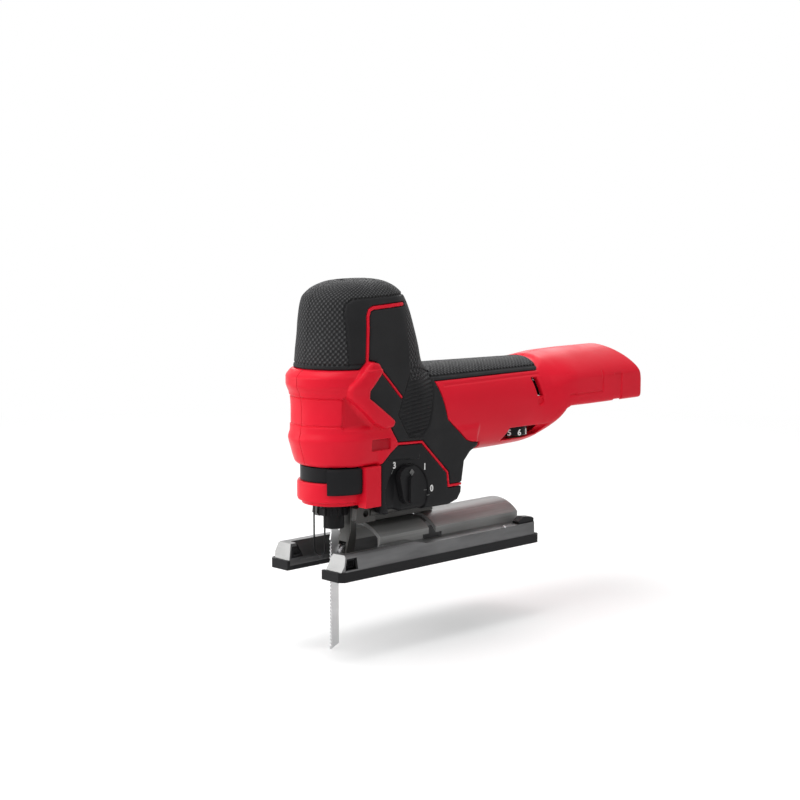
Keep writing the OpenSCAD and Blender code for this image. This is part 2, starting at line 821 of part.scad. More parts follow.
// Orbit dial: a pointer that turns about its lower, round end
module orbit_dial() {
    hub_r = 7.4;
    color(black) translate([dial_pos[0], -30.4, dial_pos[1]]) rotate([90, 0, 0]) rotate(3) difference() {
        union() {
            cylinder(4.6, r = hub_r);
            linear_extrude(4.6) polygon([
                [-hub_r, 0], [-9.6, 12.4], [-8.4, 16.4], [-4, 19], [4, 19], [8.4, 16.4], [9.6, 12.4], [hub_r, 0]
            ]);
            translate([0, 0, 4.6]) linear_extrude(2.2)
                polygon([[-2.6, -5], [-1.6, 11], [0, 12.6], [1.6, 11], [2.6, -5], [0, -6.6]]);
            translate([0, 0, -11.6]) cylinder(12, r = 5);
        }
        translate([0, 15, 4]) rotate(45) translate([-1.7, -1.7, 0]) cube([3.4, 3.4, 2]);
    }
}

module orbit_cam() {
    color(steel) translate([dial_pos[0], -18.8, dial_pos[1]]) rotate([90, 0, 0]) translate([0, 0, -26]) difference() {
        union() {
            cylinder(26, r = 4);
            translate([0, 0, 13]) cylinder(10, r = 6);
        }
        translate([-9, -8, 12]) cube([4.2, 16, 12]);
    }
}

// Pendulum arm that carries the guide roller behind the blade
module roller_arm() {
    px = pivot_pos[0];
    pz = pivot_pos[1];
    color(zinc) difference() {
        across([
                [10.6, 68], [10.6, 26], [8, 18], [6.4, 12], [6.4, 7.4], [9, 5.4], [13.4, 6.6], [14.6, 14],
                [16, 22], [16.2, 56], [24, 57], [38, 58.8], [38, 63], [24, 66], [17, 68]
            ], -5.4, 5.4);
        translate([px, 10, pz]) rotate([90, 0, 0]) cylinder(20, r = 2 + fit);
        translate([roller_pos[0], 10, roller_pos[1]]) rotate([90, 0, 0]) cylinder(20, r = 1.5);
        translate([2, -3.6, 2]) cube([16, 7.2, 16.4]);
        translate([21.4, -6, 50]) cube([20, 1.6, 20]);
    }
}

module roller_pin() {
    color(steel) translate([roller_pos[0], 5.4, roller_pos[1]]) rotate([90, 0, 0]) cylinder(10.8, r = 1.5);
}

// Grooved roller: the blade's back edge runs in its groove
module guide_roller() {
    color(steel) translate([roller_pos[0], 0, roller_pos[1]]) rotate([90, 0, 0]) rotate_extrude() polygon([
        [1.5 + fit, -3.3], [6.4, -3.3], [6.4, -1.4], [5.2, -1], [5.2, 1], [6.4, 1.4], [6.4, 3.3], [1.5 + fit, 3.3]
    ]);
}

module speed_dial() {
    teeth = 30;
    color(black) translate(speed_pos) translate([0, 0, -4.1]) difference() {
        union() {
            cylinder(8.2, r = 10.6);
            for (i = [0 : teeth - 1])
                rotate(i * 360 / teeth) translate([10.4, 0, 0]) cylinder(8.2, r = 0.5, $fn = 8);
        }
        translate([0, 0, -1]) cylinder(12, r = 2.4);
    }
}

// Slide switch on the right side of the barrel
module power_slider() {
    color(black) {
        translate([105, 31.6, 108]) cube([14, 3, 6.8]);
        translate([108, 17.4, 109]) cube([8, 15, 5]);
    }
}

// ---------- shoe ----------

// Cross section of one rail in Y and Z: a channel that is open below
module rail_section() {
    difference() {
        polygon([
            [rail_in, sole_t], [36.6, sole_t], [36.6, 7], [34.7, rail_h[0] - 1.2], [33.2, rail_h[0]],
            [21.9, rail_h[0] - 0.4], [rail_in, 5]
        ]);
        polygon([[21, sole_t - 1], [34.4, sole_t - 1], [34.4, 6.8], [32.8, 12.6], [23.2, 12.6], [21, 4.2]]);
    }
}

// Space that the blade clamp and its guard take up beside a rail when the shoe tilts
module clamp_relief() {
    translate([-15.4, 0, 0]) rotate([90, 0, 90]) linear_extrude(37.4)
        polygon([[rail_in - 2, 4.4], [26.6, 15.7], [28.8, 18.4], [28.8, 20], [rail_in - 2, 20]]);
}

// Space for the bevel screw and its plate when the shoe tilts
module screw_relief() {
    translate([bevel_x - 9.4, 0, 0]) rotate([0, 90, 0]) rotate(180 - 64) rotate_extrude(angle = 128)
        square([27.6, 18.8]);
}

// Both rails: raked front ends, and an inner side cut back beside the blade clamp
module rails() {
    l = shoe_l - 4.6;
    for (side = [0, 1]) mirror([0, side, 0]) difference() {
        union() {
            translate([rail_x, 0, 0]) rotate([90, 0, 90]) {
                linear_extrude(l) rail_section();
                linear_extrude(6) hull() rail_section();
                translate([0, 0, 9]) linear_extrude(38)
                    polygon([[rail_in, sole_t], [22, sole_t], [29, 12.8], [26.6, 15.9], [rail_in, 6.4]]);
            }
            translate([bridge_x[0], bridge_half_w - 2.6, 12.7])
                cube([bridge_x[1] - bridge_x[0], 5, rail_h[0] - 13.4]);
        }
        clamp_relief();
        across([[rail_step_x[0], rail_h[0] + 0.1], [rail_step_x[1], rail_h[1]], [200, rail_h[1]],
                [200, 30], [rail_step_x[0], 30]], 0, 50);
        translate([rail_x, 0, 0]) {
            across([[-3, 5], [0, 5.4], [4.4, 18], [4.4, 22], [-3, 22]], 0, 50);
            for (x = [0, l]) translate([x, 36.6, 0]) rotate(45) cube([3.6, 3.6, 60], center = true);
            across(FENCE_SLOT, 0, 50);
        }
        translate([latch_x, 28, 10]) cube([11, 3.4, 12]);
    }
}

module shoe() {
    wall = 2.6;
    color(steel) difference() {
        union() {
            rails();
            translate([bridge_x[0], 0, 0]) rotate([90, 0, 90]) linear_extrude(bridge_x[1] - bridge_x[0])
                difference() {
                    intersection() {
                        circle(bridge_r);
                        translate([-bridge_half_w, 13]) square([2 * bridge_half_w, 30]);
                    }
                    intersection() {
                        circle(bridge_r - wall);
                        translate([wall - bridge_half_w, 10]) square([2 * (bridge_half_w - wall), 30]);
                    }
                }
        }
        screw_relief();
        // slot that lets the shoe tilt round the bevel screw
        rotate([0, 90, 0]) rotate(180 - bevel_max - 7) rotate_extrude(angle = 2 * bevel_max + 14)
            translate([25, bevel_x - 3.5]) square([8, 7]);
    }
}

// Plastic bushes in the fence slots, one across each rail
module fence_bushes() {
    wall = 1.6;
    color(black) for (side = [0, 1]) mirror([0, side, 0]) difference() {
        translate([rail_x, 0, 0]) difference() {
            across(FENCE_SLOT, rail_in + 0.2, 36.3);
            rotate([90, 0, 0]) linear_extrude(120, center = true) offset(delta = -wall) polygon(FENCE_SLOT);
            translate([-1, 34.2, fence_z[1]]) rotate([-14, 0, 0]) translate([0, 0, -20]) cube([40, 10, 40]);
            translate([-1, 20.8, fence_z[1]]) rotate([-15.4, 0, 0]) translate([0, -10, -20]) cube([40, 10, 40]);
        }
        clamp_relief();
    }
}

// Soft-faced plastic sole that clips over the rails
module shoe_cover() {
    x0 = -shoe_front;
    color(black) difference() {
        union() {
            linear_extrude(sole_t) difference() {
                cover_outline(0);
                translate([x0 - 1, -rail_in + 0.9]) square([52, 2 * rail_in - 1.8]);
            }
            linear_extrude(cover_lip_z) difference() {
                cover_outline(0);
                cover_outline(0.9);
                translate([x0 - 1, -rail_in + 0.9]) square([300, 2 * rail_in - 1.8]);
            }
            for (side = [0, 1]) mirror([0, side, 0]) translate([latch_x, 0, 0]) {
                translate([0.2, 28.2, 0]) cube([10.6, 3, 19]);
                across([[-3, rail_h[1]], [13.6, rail_h[1]], [13.6, 17.8], [11, 19.2], [2.4, 20.2], [-3, 17]],
                    27.4, 33.6);
            }
        }
        translate([40, -12, -1]) cube([100, 24, 6]);
    }
}

module cover_outline(inset) {
    x0 = -shoe_front + inset * 2.6;
    x1 = shoe_l - shoe_front - inset;
    hw = shoe_w / 2 - inset;
    c = 3.2 - inset;
    b = 2 - inset;
    polygon([[x0, -hw + c], [x0 + c, -hw], [x1 - b, -hw], [x1, -hw + b], [x1, hw - b], [x1 - b, hw],
             [x0 + c, hw], [x0, hw - c]]);
}

housing_left();
housing_right();
grip_left();
grip_right();
side_cover_left();
side_cover_right();
front_guard();
nose_sleeve();
wire_guard();
saddle();
gear_frame();
upper_bush();
lower_bush();
plunger_seal();
roller_pivot();
front_bearing();
rear_bearing();
gear_bearing();
stator_core();
stator_coils();
control_module();
switch_module();
speed_sensor();
terminal_block();
housing_screws();
frame_screws();
bevel_screw();
clamp_plate();
rotor_shaft();
rotor_core();
fan();
pinion();
drive_gear();
crank_roller();
plunger_rod();
yoke();
clamp_body();
clamp_collar();
blade();
release_lever();
orbit_dial();
orbit_cam();
roller_arm();
roller_pin();
guide_roller();
speed_dial();
power_slider();
shoe();
fence_bushes();
shoe_cover();
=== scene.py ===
"""Looks of a barrel-grip jigsaw: moulded skins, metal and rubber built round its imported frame."""
import math

import bmesh
import bpy
import numpy as np
from mathutils import Matrix, Vector


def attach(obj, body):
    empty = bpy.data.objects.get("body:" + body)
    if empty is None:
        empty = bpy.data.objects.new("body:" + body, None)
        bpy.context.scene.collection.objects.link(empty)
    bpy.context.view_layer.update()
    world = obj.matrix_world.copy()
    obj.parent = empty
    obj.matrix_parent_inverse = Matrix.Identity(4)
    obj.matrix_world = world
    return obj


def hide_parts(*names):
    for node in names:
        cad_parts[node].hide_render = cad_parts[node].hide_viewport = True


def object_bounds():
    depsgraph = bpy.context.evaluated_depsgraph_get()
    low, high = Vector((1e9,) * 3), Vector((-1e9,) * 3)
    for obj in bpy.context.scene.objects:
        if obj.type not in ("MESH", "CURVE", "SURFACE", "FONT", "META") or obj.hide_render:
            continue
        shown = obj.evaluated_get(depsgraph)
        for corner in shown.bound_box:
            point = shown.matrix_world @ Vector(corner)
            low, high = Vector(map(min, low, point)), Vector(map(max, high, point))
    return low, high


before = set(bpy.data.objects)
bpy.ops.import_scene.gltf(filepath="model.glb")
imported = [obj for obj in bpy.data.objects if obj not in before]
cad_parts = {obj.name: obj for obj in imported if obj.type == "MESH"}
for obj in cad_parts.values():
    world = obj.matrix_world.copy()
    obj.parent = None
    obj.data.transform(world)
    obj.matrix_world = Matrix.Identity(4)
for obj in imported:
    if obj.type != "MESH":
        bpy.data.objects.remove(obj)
cad_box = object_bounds()
MM = 0.001

# ---------- driving dimensions, in millimetres ----------

RUBBER = 2.0            # thickness of the soft overmould
SHELL = 4.4             # overmould and hard wall together
GROOVE = 0.35           # half width of the gap between two mouldings
SEAM = 0.03             # half gap between the two housing halves
COVER_SEAM = 0.06       # the same between the two gear case covers
BRACKET = 3.9           # height of the raised bracket at X -7
CASE_HALF_W = 31.0      # half width of the gear case
FOOT_END = 290.0        # X of the foot's rear end
DIAL = (40.0, 52.0)     # orbit dial axis in X and Z

# Plan sections of the head: height, front circle's X and radius, rear circle's X and radius
HEAD = np.array([
    [74.3, 3.5, 27.4, 60, 26.5], [76.7, 3.4, 29.4, 60, 28.5], [86, 2.0, 31.0, 60, 29.4],
    [93, 0.8, 31.6, 60, 29.6], [98, 1.6, 31.0, 60, 29.6], [111, 1.9, 31.0, 56, 30],
    [123, 1.2, 31.2, 52, 30], [130, -0.8, 31.8, 48, 30], [134.5, -0.8, 31.8, 46, 30],
    [139, 2.4, 31.2, 44, 29.8], [140.6, 4.3, 30.6, 43, 29.6], [153, 5.9, 30.3, 40.5, 28.9],
    [166, 7.2, 30.0, 37.5, 28], [178, 7.4, 29.0, 34.4, 27], [187, 7.6, 27.2, 31.6, 25.4],
    [192.5, 9.0, 23.6, 30, 22], [196.8, 11.6, 17.6, 28, 16.4], [199, 14, 10.6, 26, 10],
    [199.6, 16, 5, 24, 5]])
# Sections of the barrel and foot: X, half width, height of the widest place, top, bottom, and how
# square the upper and the lower part are
BARREL = np.array([
    [36, 27, 104, 134, 75.1, 2.3, 2.5], [60, 30, 104, 136.8, 71.5, 2.4, 2.6],
    [84, 31, 104, 137.6, 71, 2.5, 2.8], [130, 31, 104, 136.8, 71, 2.5, 2.8],
    [170, 31, 105, 136, 71.6, 2.5, 2.8], [180, 31.4, 107, 135.8, 72.9, 2.4, 2.9],
    [188, 32.8, 110, 136, 75.6, 2.3, 3], [195, 35, 113, 136.8, 80, 2.1, 3.4],
    [200, 36.2, 115, 137.5, 85.4, 1.95, 4.4], [205, 37.1, 116.4, 138, 92.6, 1.9, 6],
    [209, 37.6, 117.2, 138.4, 96.8, 1.85, 9], [214, 37.9, 117.8, 138.7, 97.8, 1.8, 13],
    [240, 38, 118, 139.3, 97.9, 1.75, 16], [290, 38, 118, 139.3, 98, 1.75, 16]])
# Side outlines in X and Z
CASE = [(16, 41), (20, 39.2), (82.5, 38.6), (91, 41), (94.6, 46), (96, 56), (98, 68), (104, 74),
        (112, 78), (112, 92), (16, 92)]
COVER = [(16, 36), (100, 36), (100, 50.9), (80.5, 50.9), (79.3, 61.6), (54.3, 85.3), (30.9, 86.1),
         (24, 81.4), (16, 74)]
PIPING = [(30.5, 87.3), (54.7, 86.2), (80.2, 62), (81.4, 52.2), (99, 52.2)]
TOWER_LINE = [(3.8, 142), (5.8, 176), (7.6, 179.6), (11, 181), (42, 182.3)]
CHEVRON = [(4, 146), (-5, 138), (-12.4, 130.6), (-14, 126.6), (-12.6, 121.6), (6, 104), (16, 98.5),
           (24.5, 99.5), (27, 104), (14, 113.5), (2.6, 121.5), (2.6, 126), (15.4, 138.6), (11.5, 144.6)]
TAIL = [(14, 141), (36, 119)]
PANEL = [(73, 126.4), (180, 126.4), (200, 140), (300, 140), (300, 60), (126, 60), (121, 75.4),
         (118, 79.4), (104, 81.6), (99.6, 83.4), (81, 99.6)]
COLLAR = [(-60, 60), (31.6, 60), (31.6, 87.4), (24.6, 101), (2, 122), (2, 136), (4, 140.2),
          (-60, 140.2)]
TEXTURE_EDGE = [(-9.2, 143), (-9.5, 165), (-10.2, 178), (-8.6, 184.4), (-4, 187), (2, 187.6),
                (60, 189)]
PAD = [(46, 139), (32.5, 107), (42.5, 91), (54.5, 90), (61.5, 97), (70.2, 127.7), (72, 133)]
GRIP_TOP_EDGE = [(70.2, 129.8), (186, 129.8)]

# Grids of the moulded surfaces, and the rubber's fine scales
SHELL_GRID = 0.75
SKIN_GRID = 0.55
CELL = (3.3, 3.7)       # spacing of the scales: round and up the head, along and round the barrel
HEAD_BEND = 29.0        # radii at which the head and the barrel are unrolled for the scales
BARREL_BEND = 31.0


# ---------- distance fields ----------
# A field gives the distance in millimetres from points to a surface, negative inside.

def smooth_rows(rows, count=1500):
    """Dense, monotone cubic interpolation of every column of a table over its first column."""
    x = rows[:, 0]
    dense = np.linspace(x[0], x[-1], count)
    out = [dense]
    h = np.diff(x)
    cell = np.clip(np.searchsorted(x, dense, side="right") - 1, 0, len(x) - 2)
    t = (dense - x[cell]) / h[cell]
    for column in rows.T[1:]:
        slope = np.diff(column) / h
        m = np.zeros(len(x))
        same = slope[:-1] * slope[1:] > 0
        w1, w2 = 2 * h[1:] + h[:-1], h[1:] + 2 * h[:-1]
        with np.errstate(divide="ignore", invalid="ignore"):
            mean = (w1 + w2) / (w1 / slope[:-1] + w2 / slope[1:])
        m[1:-1] = np.where(same, mean, 0)
        m[0], m[-1] = slope[0], slope[-1]
        a, b = column[cell], column[cell + 1]
        out.append((2 * t**3 - 3 * t**2 + 1) * a + (t**3 - 2 * t**2 + t) * h[cell] * m[cell]
                   + (3 * t**2 - 2 * t**3) * b + (t**3 - t**2) * h[cell] * m[cell + 1])
    return out


HEAD_ROWS = smooth_rows(HEAD)
BARREL_ROWS = smooth_rows(BARREL)


def lookup(rows, at):
    """The dense table's columns at some places along its first column."""
    return [np.interp(at, rows[0], column) for column in rows[1:]]


def smooth_min(a, b, k):
    """Union of two fields, filleted over a width k."""
    h = np.clip(0.5 + 0.5 * (b - a) / k, 0, 1)
    return b + (a - b) * h - k * h * (1 - h)


def smooth_max(a, b, k):
    """Overlap of two fields, rounded over a width k."""
    return -smooth_min(-a, -b, k)


def polygon_field(points, u, v):
    """Distance to a closed outline in a plane."""
    best = np.full(u.shape, 1e9)
    inside = np.zeros(u.shape, bool)
    for (ax, ay), (bx, by) in zip(points, points[1:] + points[:1]):
        ex, ey = bx - ax, by - ay
        wx, wy = u - ax, v - ay
        t = np.clip((wx * ex + wy * ey) / (ex * ex + ey * ey), 0, 1)
        best = np.minimum(best, (wx - ex * t) ** 2 + (wy - ey * t) ** 2)
        if ey != 0:
            inside ^= ((ay > v) != (by > v)) & (u < ex * (v - ay) / ey + ax)
    return np.where(inside, -1, 1) * np.sqrt(best)


def inset(points, by):
    """An anticlockwise outline moved inwards."""
    lines = []
    for (ax, az), (bx, bz) in zip(points, points[1:] + points[:1]):
        nx, ny = az - bz, bx - ax
        length = math.hypot(nx, ny)
        lines.append((nx / length, ny / length, (nx * ax + ny * az) / length + by))
    out = []
    for (a, b, c), (d, e, f) in zip(lines[-1:] + lines[:-1], lines):
        det = a * e - b * d
        out.append(((c * e - b * f) / det, (a * f - c * d) / det))
    return out


def line_field(points, u, v):
    """Distance to an open line in a plane."""
    best = np.full(u.shape, 1e9)
    for (ax, ay), (bx, by) in zip(points, points[1:]):
        ex, ey = bx - ax, by - ay
        wx, wy = u - ax, v - ay
        t = np.clip((wx * ex + wy * ey) / (ex * ex + ey * ey), 0, 1)
        best = np.minimum(best, (wx - ex * t) ** 2 + (wy - ey * t) ** 2)
    return np.sqrt(best)


def head_2d(x, y, z):
    """Distance to the head's plan section at each height: two circles and the lines that join them."""
    xf, rf, xr, rr = lookup(HEAD_ROWS, z)
    h = xr - xf
    b = (rf - rr) / h
    a = np.sqrt(1 - b * b)
    px, py = x - xf, np.abs(y)
    k = a * px - b * py
    front = np.hypot(px, py) - rf
    rear = np.hypot(px - h, py) - rr
    return np.where(k < 0, front, np.where(k > a * h, rear, a * py + b * px - rf))


def head_field(x, y, z):
    """Distance to the head, with its taper taken into account."""
    step = 0.2
    d = head_2d(x, y, z)
    slope = (head_2d(x, y, z + step) - d) / step
    d = d / np.sqrt(1 + slope**2)
    d = smooth_max(d, HEAD[0, 0] - z, 1.2)
    return np.maximum(d, z - HEAD[-1, 0])


def barrel_level(x, y, z):
    """Squared-off section of the barrel: its level, 0 on the outline, and the level's slope squared."""
    half, shoulder, top, bottom, n_top, n_bottom = lookup(BARREL_ROWS, x)
    up = z > shoulder
    n = np.where(up, n_top, n_bottom)
    b = np.where(up, top - shoulder, shoulder - bottom)
    u, v = np.abs(y) / half + 1e-6, np.abs(z - shoulder) / b + 1e-6
    level = (u**n + v**n) ** (1 / n)
    gy = (u / level) ** (n - 1) / half
    gz = (v / level) ** (n - 1) / b
    return level - 1, gy * gy + gz * gz


def barrel_field(x, y, z):
    """Distance to the barrel and foot."""
    step = 0.4
    level, g2 = barrel_level(x, y, z)
    ahead, _ = barrel_level(x + step, y, z)
    gx = (ahead - level) / step
    d = level / np.sqrt(g2 + gx * gx)
    return smooth_max(d, BARREL[0, 0] - x, 2)


def body_field(x, y, z):
    """Outside of the whole housing."""
    case = polygon_field(CASE, x, z)
    case = smooth_max(case, np.abs(y) - CASE_HALF_W, 3)
    d = smooth_min(head_field(x, y, z), barrel_field(x, y, z), 5)
    d = smooth_min(d, case, 3)
    behind = x - FOOT_END
    rear = smooth_max(behind, behind * 0.868 + (z - 118) * 0.496, 3)
    return smooth_max(d, rear, 2.4)


def red_field(x, z):
    """Side fields that are moulded red up to the surface."""
    d = np.minimum(polygon_field(COLLAR, x, z), polygon_field(PANEL, x, z))
    d = np.minimum(d, polygon_field(CHEVRON, x, z))
    d = np.minimum(d, line_field(PIPING, x, z) - 0.9)
    d = np.minimum(d, line_field(TOWER_LINE, x, z) - 1.2)
    return np.minimum(d, line_field(TAIL, x, z) - 0.8)


# ---------- surfaces from fields ----------

BLOCK = 8               # grid points along a side of a block; only blocks near the surface are worked out
BATCH = 1500            # blocks worked out at a time
CORNERS = [(i, j, k) for i in (0, 1) for j in (0, 1) for k in (0, 1)]


def sample_blocks(field, low, high, step):
    """Field values on a grid: true near the surface, and only their sign elsewhere."""
    blocks = np.ceil((np.array(high) - low) / (step * BLOCK)).astype(int) + 1
    size = step * BLOCK
    centre = [low[k] + (np.arange(blocks[k]) + 0.5) * size - step / 2 for k in range(3)]
    coarse = field(*np.meshgrid(*centre, indexing="ij"))
    near = np.abs(coarse) < size * 1.1 + 0.5
    values = np.empty((blocks[0], BLOCK, blocks[1], BLOCK, blocks[2], BLOCK), np.float32)
    values[:] = np.where(coarse < 0, -1.0, 1.0)[:, None, :, None, :, None]
    ids = np.argwhere(near)
    local = np.arange(BLOCK)
    for part in np.array_split(ids, max(1, len(ids) // BATCH)):
        axes = [low[k] + (part[:, k, None] * BLOCK + local) * step for k in range(3)]
        shape = (len(part), BLOCK, BLOCK, BLOCK)
        x = np.broadcast_to(axes[0][:, :, None, None], shape)
        y = np.broadcast_to(axes[1][:, None, :, None], shape)
        z = np.broadcast_to(axes[2][:, None, None, :], shape)
        values[part[:, 0], :, part[:, 1], :, part[:, 2], :] = field(x, y, z)
    return values.reshape(blocks * BLOCK)


def crossed_cells(inside):
    """Flat indices of the grid cells that the surface passes through."""
    dims = np.array(inside.shape)
    count = np.zeros(dims - 1, np.uint8)
    for i, j, k in CORNERS:
        count += inside[i:dims[0] - 1 + i, j:dims[1] - 1 + j, k:dims[2] - 1 + k]
    return np.flatnonzero((count > 0) & (count < len(CORNERS)))


def cell_points(values, cell):
    """One point in each cell, in cell units: the mean of the places where its edges are crossed."""
    corner_values = {c: values[cell[:, 0] + c[0], cell[:, 1] + c[1], cell[:, 2] + c[2]] for c in CORNERS}
    total = np.zeros((len(cell), 3))
    hits = np.zeros(len(cell))
    for c in CORNERS:
        for axis in range(3):
            if c[axis]:
                continue
            e = tuple(1 if k == axis else c[k] for k in range(3))
            va, vb = corner_values[c], corner_values[e]
            cross = (va < 0) != (vb < 0)
            t = np.where(cross, va / np.where(cross, va - vb, 1), 0)
            point = np.array(c, float)[None, :] + t[:, None] * np.eye(3)[axis]
            total += np.where(cross[:, None], point, 0)
            hits += cross
    return cell + total / hits[:, None]


def cell_quads(inside, active):
    """A quad across every grid edge that the surface crosses, between the four cells round it."""
    dims = np.array(inside.shape)
    quads = []
    for axis in range(3):
        other = [k for k in range(3) if k != axis]
        a = [slice(1, -1)] * 3
        b = [slice(1, -1)] * 3
        a[axis], b[axis] = slice(0, -1), slice(1, None)
        ia, ib = inside[tuple(a)], inside[tuple(b)]
        edge = np.argwhere(ia != ib)
        flip = ia[tuple(edge.T)]
        base = edge + 1
        base[:, axis] -= 1
        ring = []
        for du, dv in ((1, 1), (0, 1), (0, 0), (1, 0)):
            q = base.copy()
            q[:, other[0]] -= du
            q[:, other[1]] -= dv
            ring.append(np.searchsorted(active, np.ravel_multi_index(q.T, dims - 1)))
        quad = np.stack(ring, 1)
        if axis == 1:
            flip = ~flip
        quads.append(np.where(flip[:, None], quad, quad[:, ::-1]))
    return np.concatenate(quads)


def surface_net(field, low, high, step):
    """Points and quads of the closed surface where field is zero."""
    low = np.array(low, float)
    values = sample_blocks(field, low, high, step)
    inside = values < 0
    active = crossed_cells(inside)
    cell = np.stack(np.unravel_index(active, np.array(values.shape) - 1), 1)
    return low + cell_points(values, cell) * step, cell_quads(inside, active)


def field_gradient(field, p, here, e=0.04):
    """Slope of a field at some points where its value is already known."""
    x, y, z = p.T
    ahead = field(x + e, y, z), field(x, y + e, z), field(x, y, z + e)
    return np.stack([value - here for value in ahead], 1) / e


def settle(field, p, limit):
    """Moves points onto the surface, along its normal."""
    d = field(*p.T)
    g = field_gradient(field, p, d)
    move = -d[:, None] * g / np.maximum((g * g).sum(1), 0.25)[:, None]
    size = np.linalg.norm(move, axis=1, keepdims=True)
    return p + move * np.minimum(1, limit / np.maximum(size, 1e-9))


def add_mesh(name, points, faces, material, body, replaced=(), sharp=None):
    """Makes one piece from points in millimetres, and ties it to the frame."""
    mesh = bpy.data.meshes.new(name)
    points = np.clip(np.asarray(points, float) * MM, *cad_box)
    mesh.from_pydata(points.tolist(), [], np.asarray(faces).tolist()
                     if isinstance(faces, np.ndarray) else faces)
    mesh.validate()
    mesh.shade_smooth()
    if sharp is not None:
        mesh.set_sharp_from_angle(angle=math.radians(sharp))
    mesh.materials.append(material)
    piece = bpy.data.objects.new(name, mesh)
    bpy.context.scene.collection.objects.link(piece)
    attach(piece, body)
    if replaced:
        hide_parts(*replaced)
    return piece


def moulded(name, field, low, high, step, material, body, replaced=(), sharp=40):
    """A piece whose surface is where its field is zero."""
    points, quads = surface_net(field, low, high, step)
    points = settle(field, points, step * 0.6)
    return add_mesh(name, points, quads, material, body, replaced, sharp)


def set_attribute(piece, name, kind, values):
    """Gives a mesh a value or a vector at each point, for its material to read."""
    attribute = piece.data.attributes.new(name, kind, "POINT")
    key = "value" if kind == "FLOAT" else "vector"
    attribute.data.foreach_set(key, np.asarray(values, np.float32).ravel())


def piece_points(piece):
    """A piece's points, in millimetres."""
    co = np.zeros(len(piece.data.vertices) * 3, np.float32)
    piece.data.vertices.foreach_get("co", co)
    return co.reshape(-1, 3).astype(float) / MM


def weigh_normals(mesh):
    """Smooth shading in which the large faces stay flat."""
    count = len(mesh.polygons)
    area, normal, start = np.zeros(count), np.zeros(count * 3), np.zeros(count, int)
    total, corner = np.zeros(count, int), np.zeros(len(mesh.loops), int)
    for name, values in (("area", area), ("normal", normal), ("loop_start", start), ("loop_total", total)):
        mesh.polygons.foreach_get(name, values)
    mesh.loops.foreach_get("vertex_index", corner)
    weight = np.repeat(normal.reshape(-1, 3) * area[:, None], total, axis=0)
    out = np.zeros((len(mesh.vertices), 3))
    np.add.at(out, corner, weight)
    out /= np.maximum(np.linalg.norm(out, axis=1, keepdims=True), 1e-12)
    mesh.normals_split_custom_set_from_vertices(out.tolist())


def soften(node, width, material, slot, body, edge=None, choose=None):
    """Stands for a CAD node with a copy of its shape that has rounded edges, lighter where an edge
    material is given.

    The edge material, where given, goes on the rounded edges, and choose gives every other face its
    material index from its middle in millimetres and its normal.
    """
    bm = bmesh.new()
    bm.from_mesh(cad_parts[node].data)
    bmesh.ops.remove_doubles(bm, verts=bm.verts, dist=2e-6)
    bmesh.ops.dissolve_limit(bm, angle_limit=math.radians(0.5), verts=bm.verts, edges=bm.edges)
    edges = [e for e in bm.edges if e.is_manifold and e.calc_face_angle(0) > math.radians(28)]
    rounded = bmesh.ops.bevel(bm, geom=edges, offset=width * MM, offset_type="OFFSET", segments=2,
                              profile=0.5, affect="EDGES", clamp_overlap=True)
    for face in bm.faces:
        face.material_index = choose(face.calc_center_median() / MM, face.normal) if choose else 0
    if edge is not None:
        for face in rounded["faces"]:
            face.material_index = 1
    bmesh.ops.recalc_face_normals(bm, faces=bm.faces)
    mesh = bpy.data.meshes.new(node + "_soft")
    bm.to_mesh(mesh)
    bm.free()
    mesh.shade_smooth()
    weigh_normals(mesh)
    for each in [material] + ([edge] if edge else []):
        mesh.materials.append(each)
    piece = bpy.data.objects.new(node + "_soft", mesh)
    bpy.context.scene.collection.objects.link(piece)
    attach(piece, body)
    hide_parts(node)
    return piece


# ---------- materials ----------

class Nodes:
    """Small helper that builds a node tree."""

    def __init__(self, owner):
        owner.use_nodes = True
        self.tree = owner.node_tree
        self.tree.nodes.clear()

    def link(self, a, b):
        self.tree.links.new(a, b)

    def feed(self, socket, value):
        """Links another node's output to a socket, or sets the socket's own value."""
        if isinstance(value, bpy.types.NodeSocket):
            self.link(value, socket)
        else:
            socket.default_value = value

    def add(self, kind, inputs=None, **settings):
        node = self.tree.nodes.new(kind)
        for key, value in settings.items():
            setattr(node, key, value)
        for key, value in (inputs or {}).items():
            self.feed(node.inputs[key], value)
        return node

    def math(self, operation, a, b=0.0):
        return self.add("ShaderNodeMath", {0: a, 1: b}, operation=operation).outputs[0]

    def vector(self, operation, a, b):
        return self.add("ShaderNodeVectorMath", {0: a, 1: b}, operation=operation).outputs[0]

    def mix(self, factor, a, b):
        """Two colours by a factor; 6, 7 and 2 are the node's colour sockets."""
        node = self.add("ShaderNodeMix", data_type="RGBA")
        for index, value in ((0, factor), (6, a), (7, b)):
            self.feed(node.inputs[index], value)
        return node.outputs[2]

    def noise(self, vector, scale, detail=2.0, roughness=0.5):
        return self.add("ShaderNodeTexNoise", {"Vector": vector, "Scale": scale, "Detail": detail,
                                               "Roughness": roughness}).outputs[0]

    def ramp(self, value, low, high, out_low, out_high):
        return self.add("ShaderNodeMapRange", {0: value, 1: low, 2: high, 3: out_low,
                                               4: out_high}).outputs[0]

    def attribute(self, name, output):
        return self.add("ShaderNodeAttribute", attribute_name=name).outputs[output]

    def object_mm(self):
        coordinates = self.add("ShaderNodeTexCoord").outputs["Object"]
        scaled = self.add("ShaderNodeVectorMath", {0: coordinates, 3: 1 / MM}, operation="SCALE")
        return scaled.outputs[0]

    def bump(self, height, depth_mm):
        return self.add("ShaderNodeBump", {"Height": height, "Distance": depth_mm * MM,
                                           "Strength": 1.0}).outputs[0]


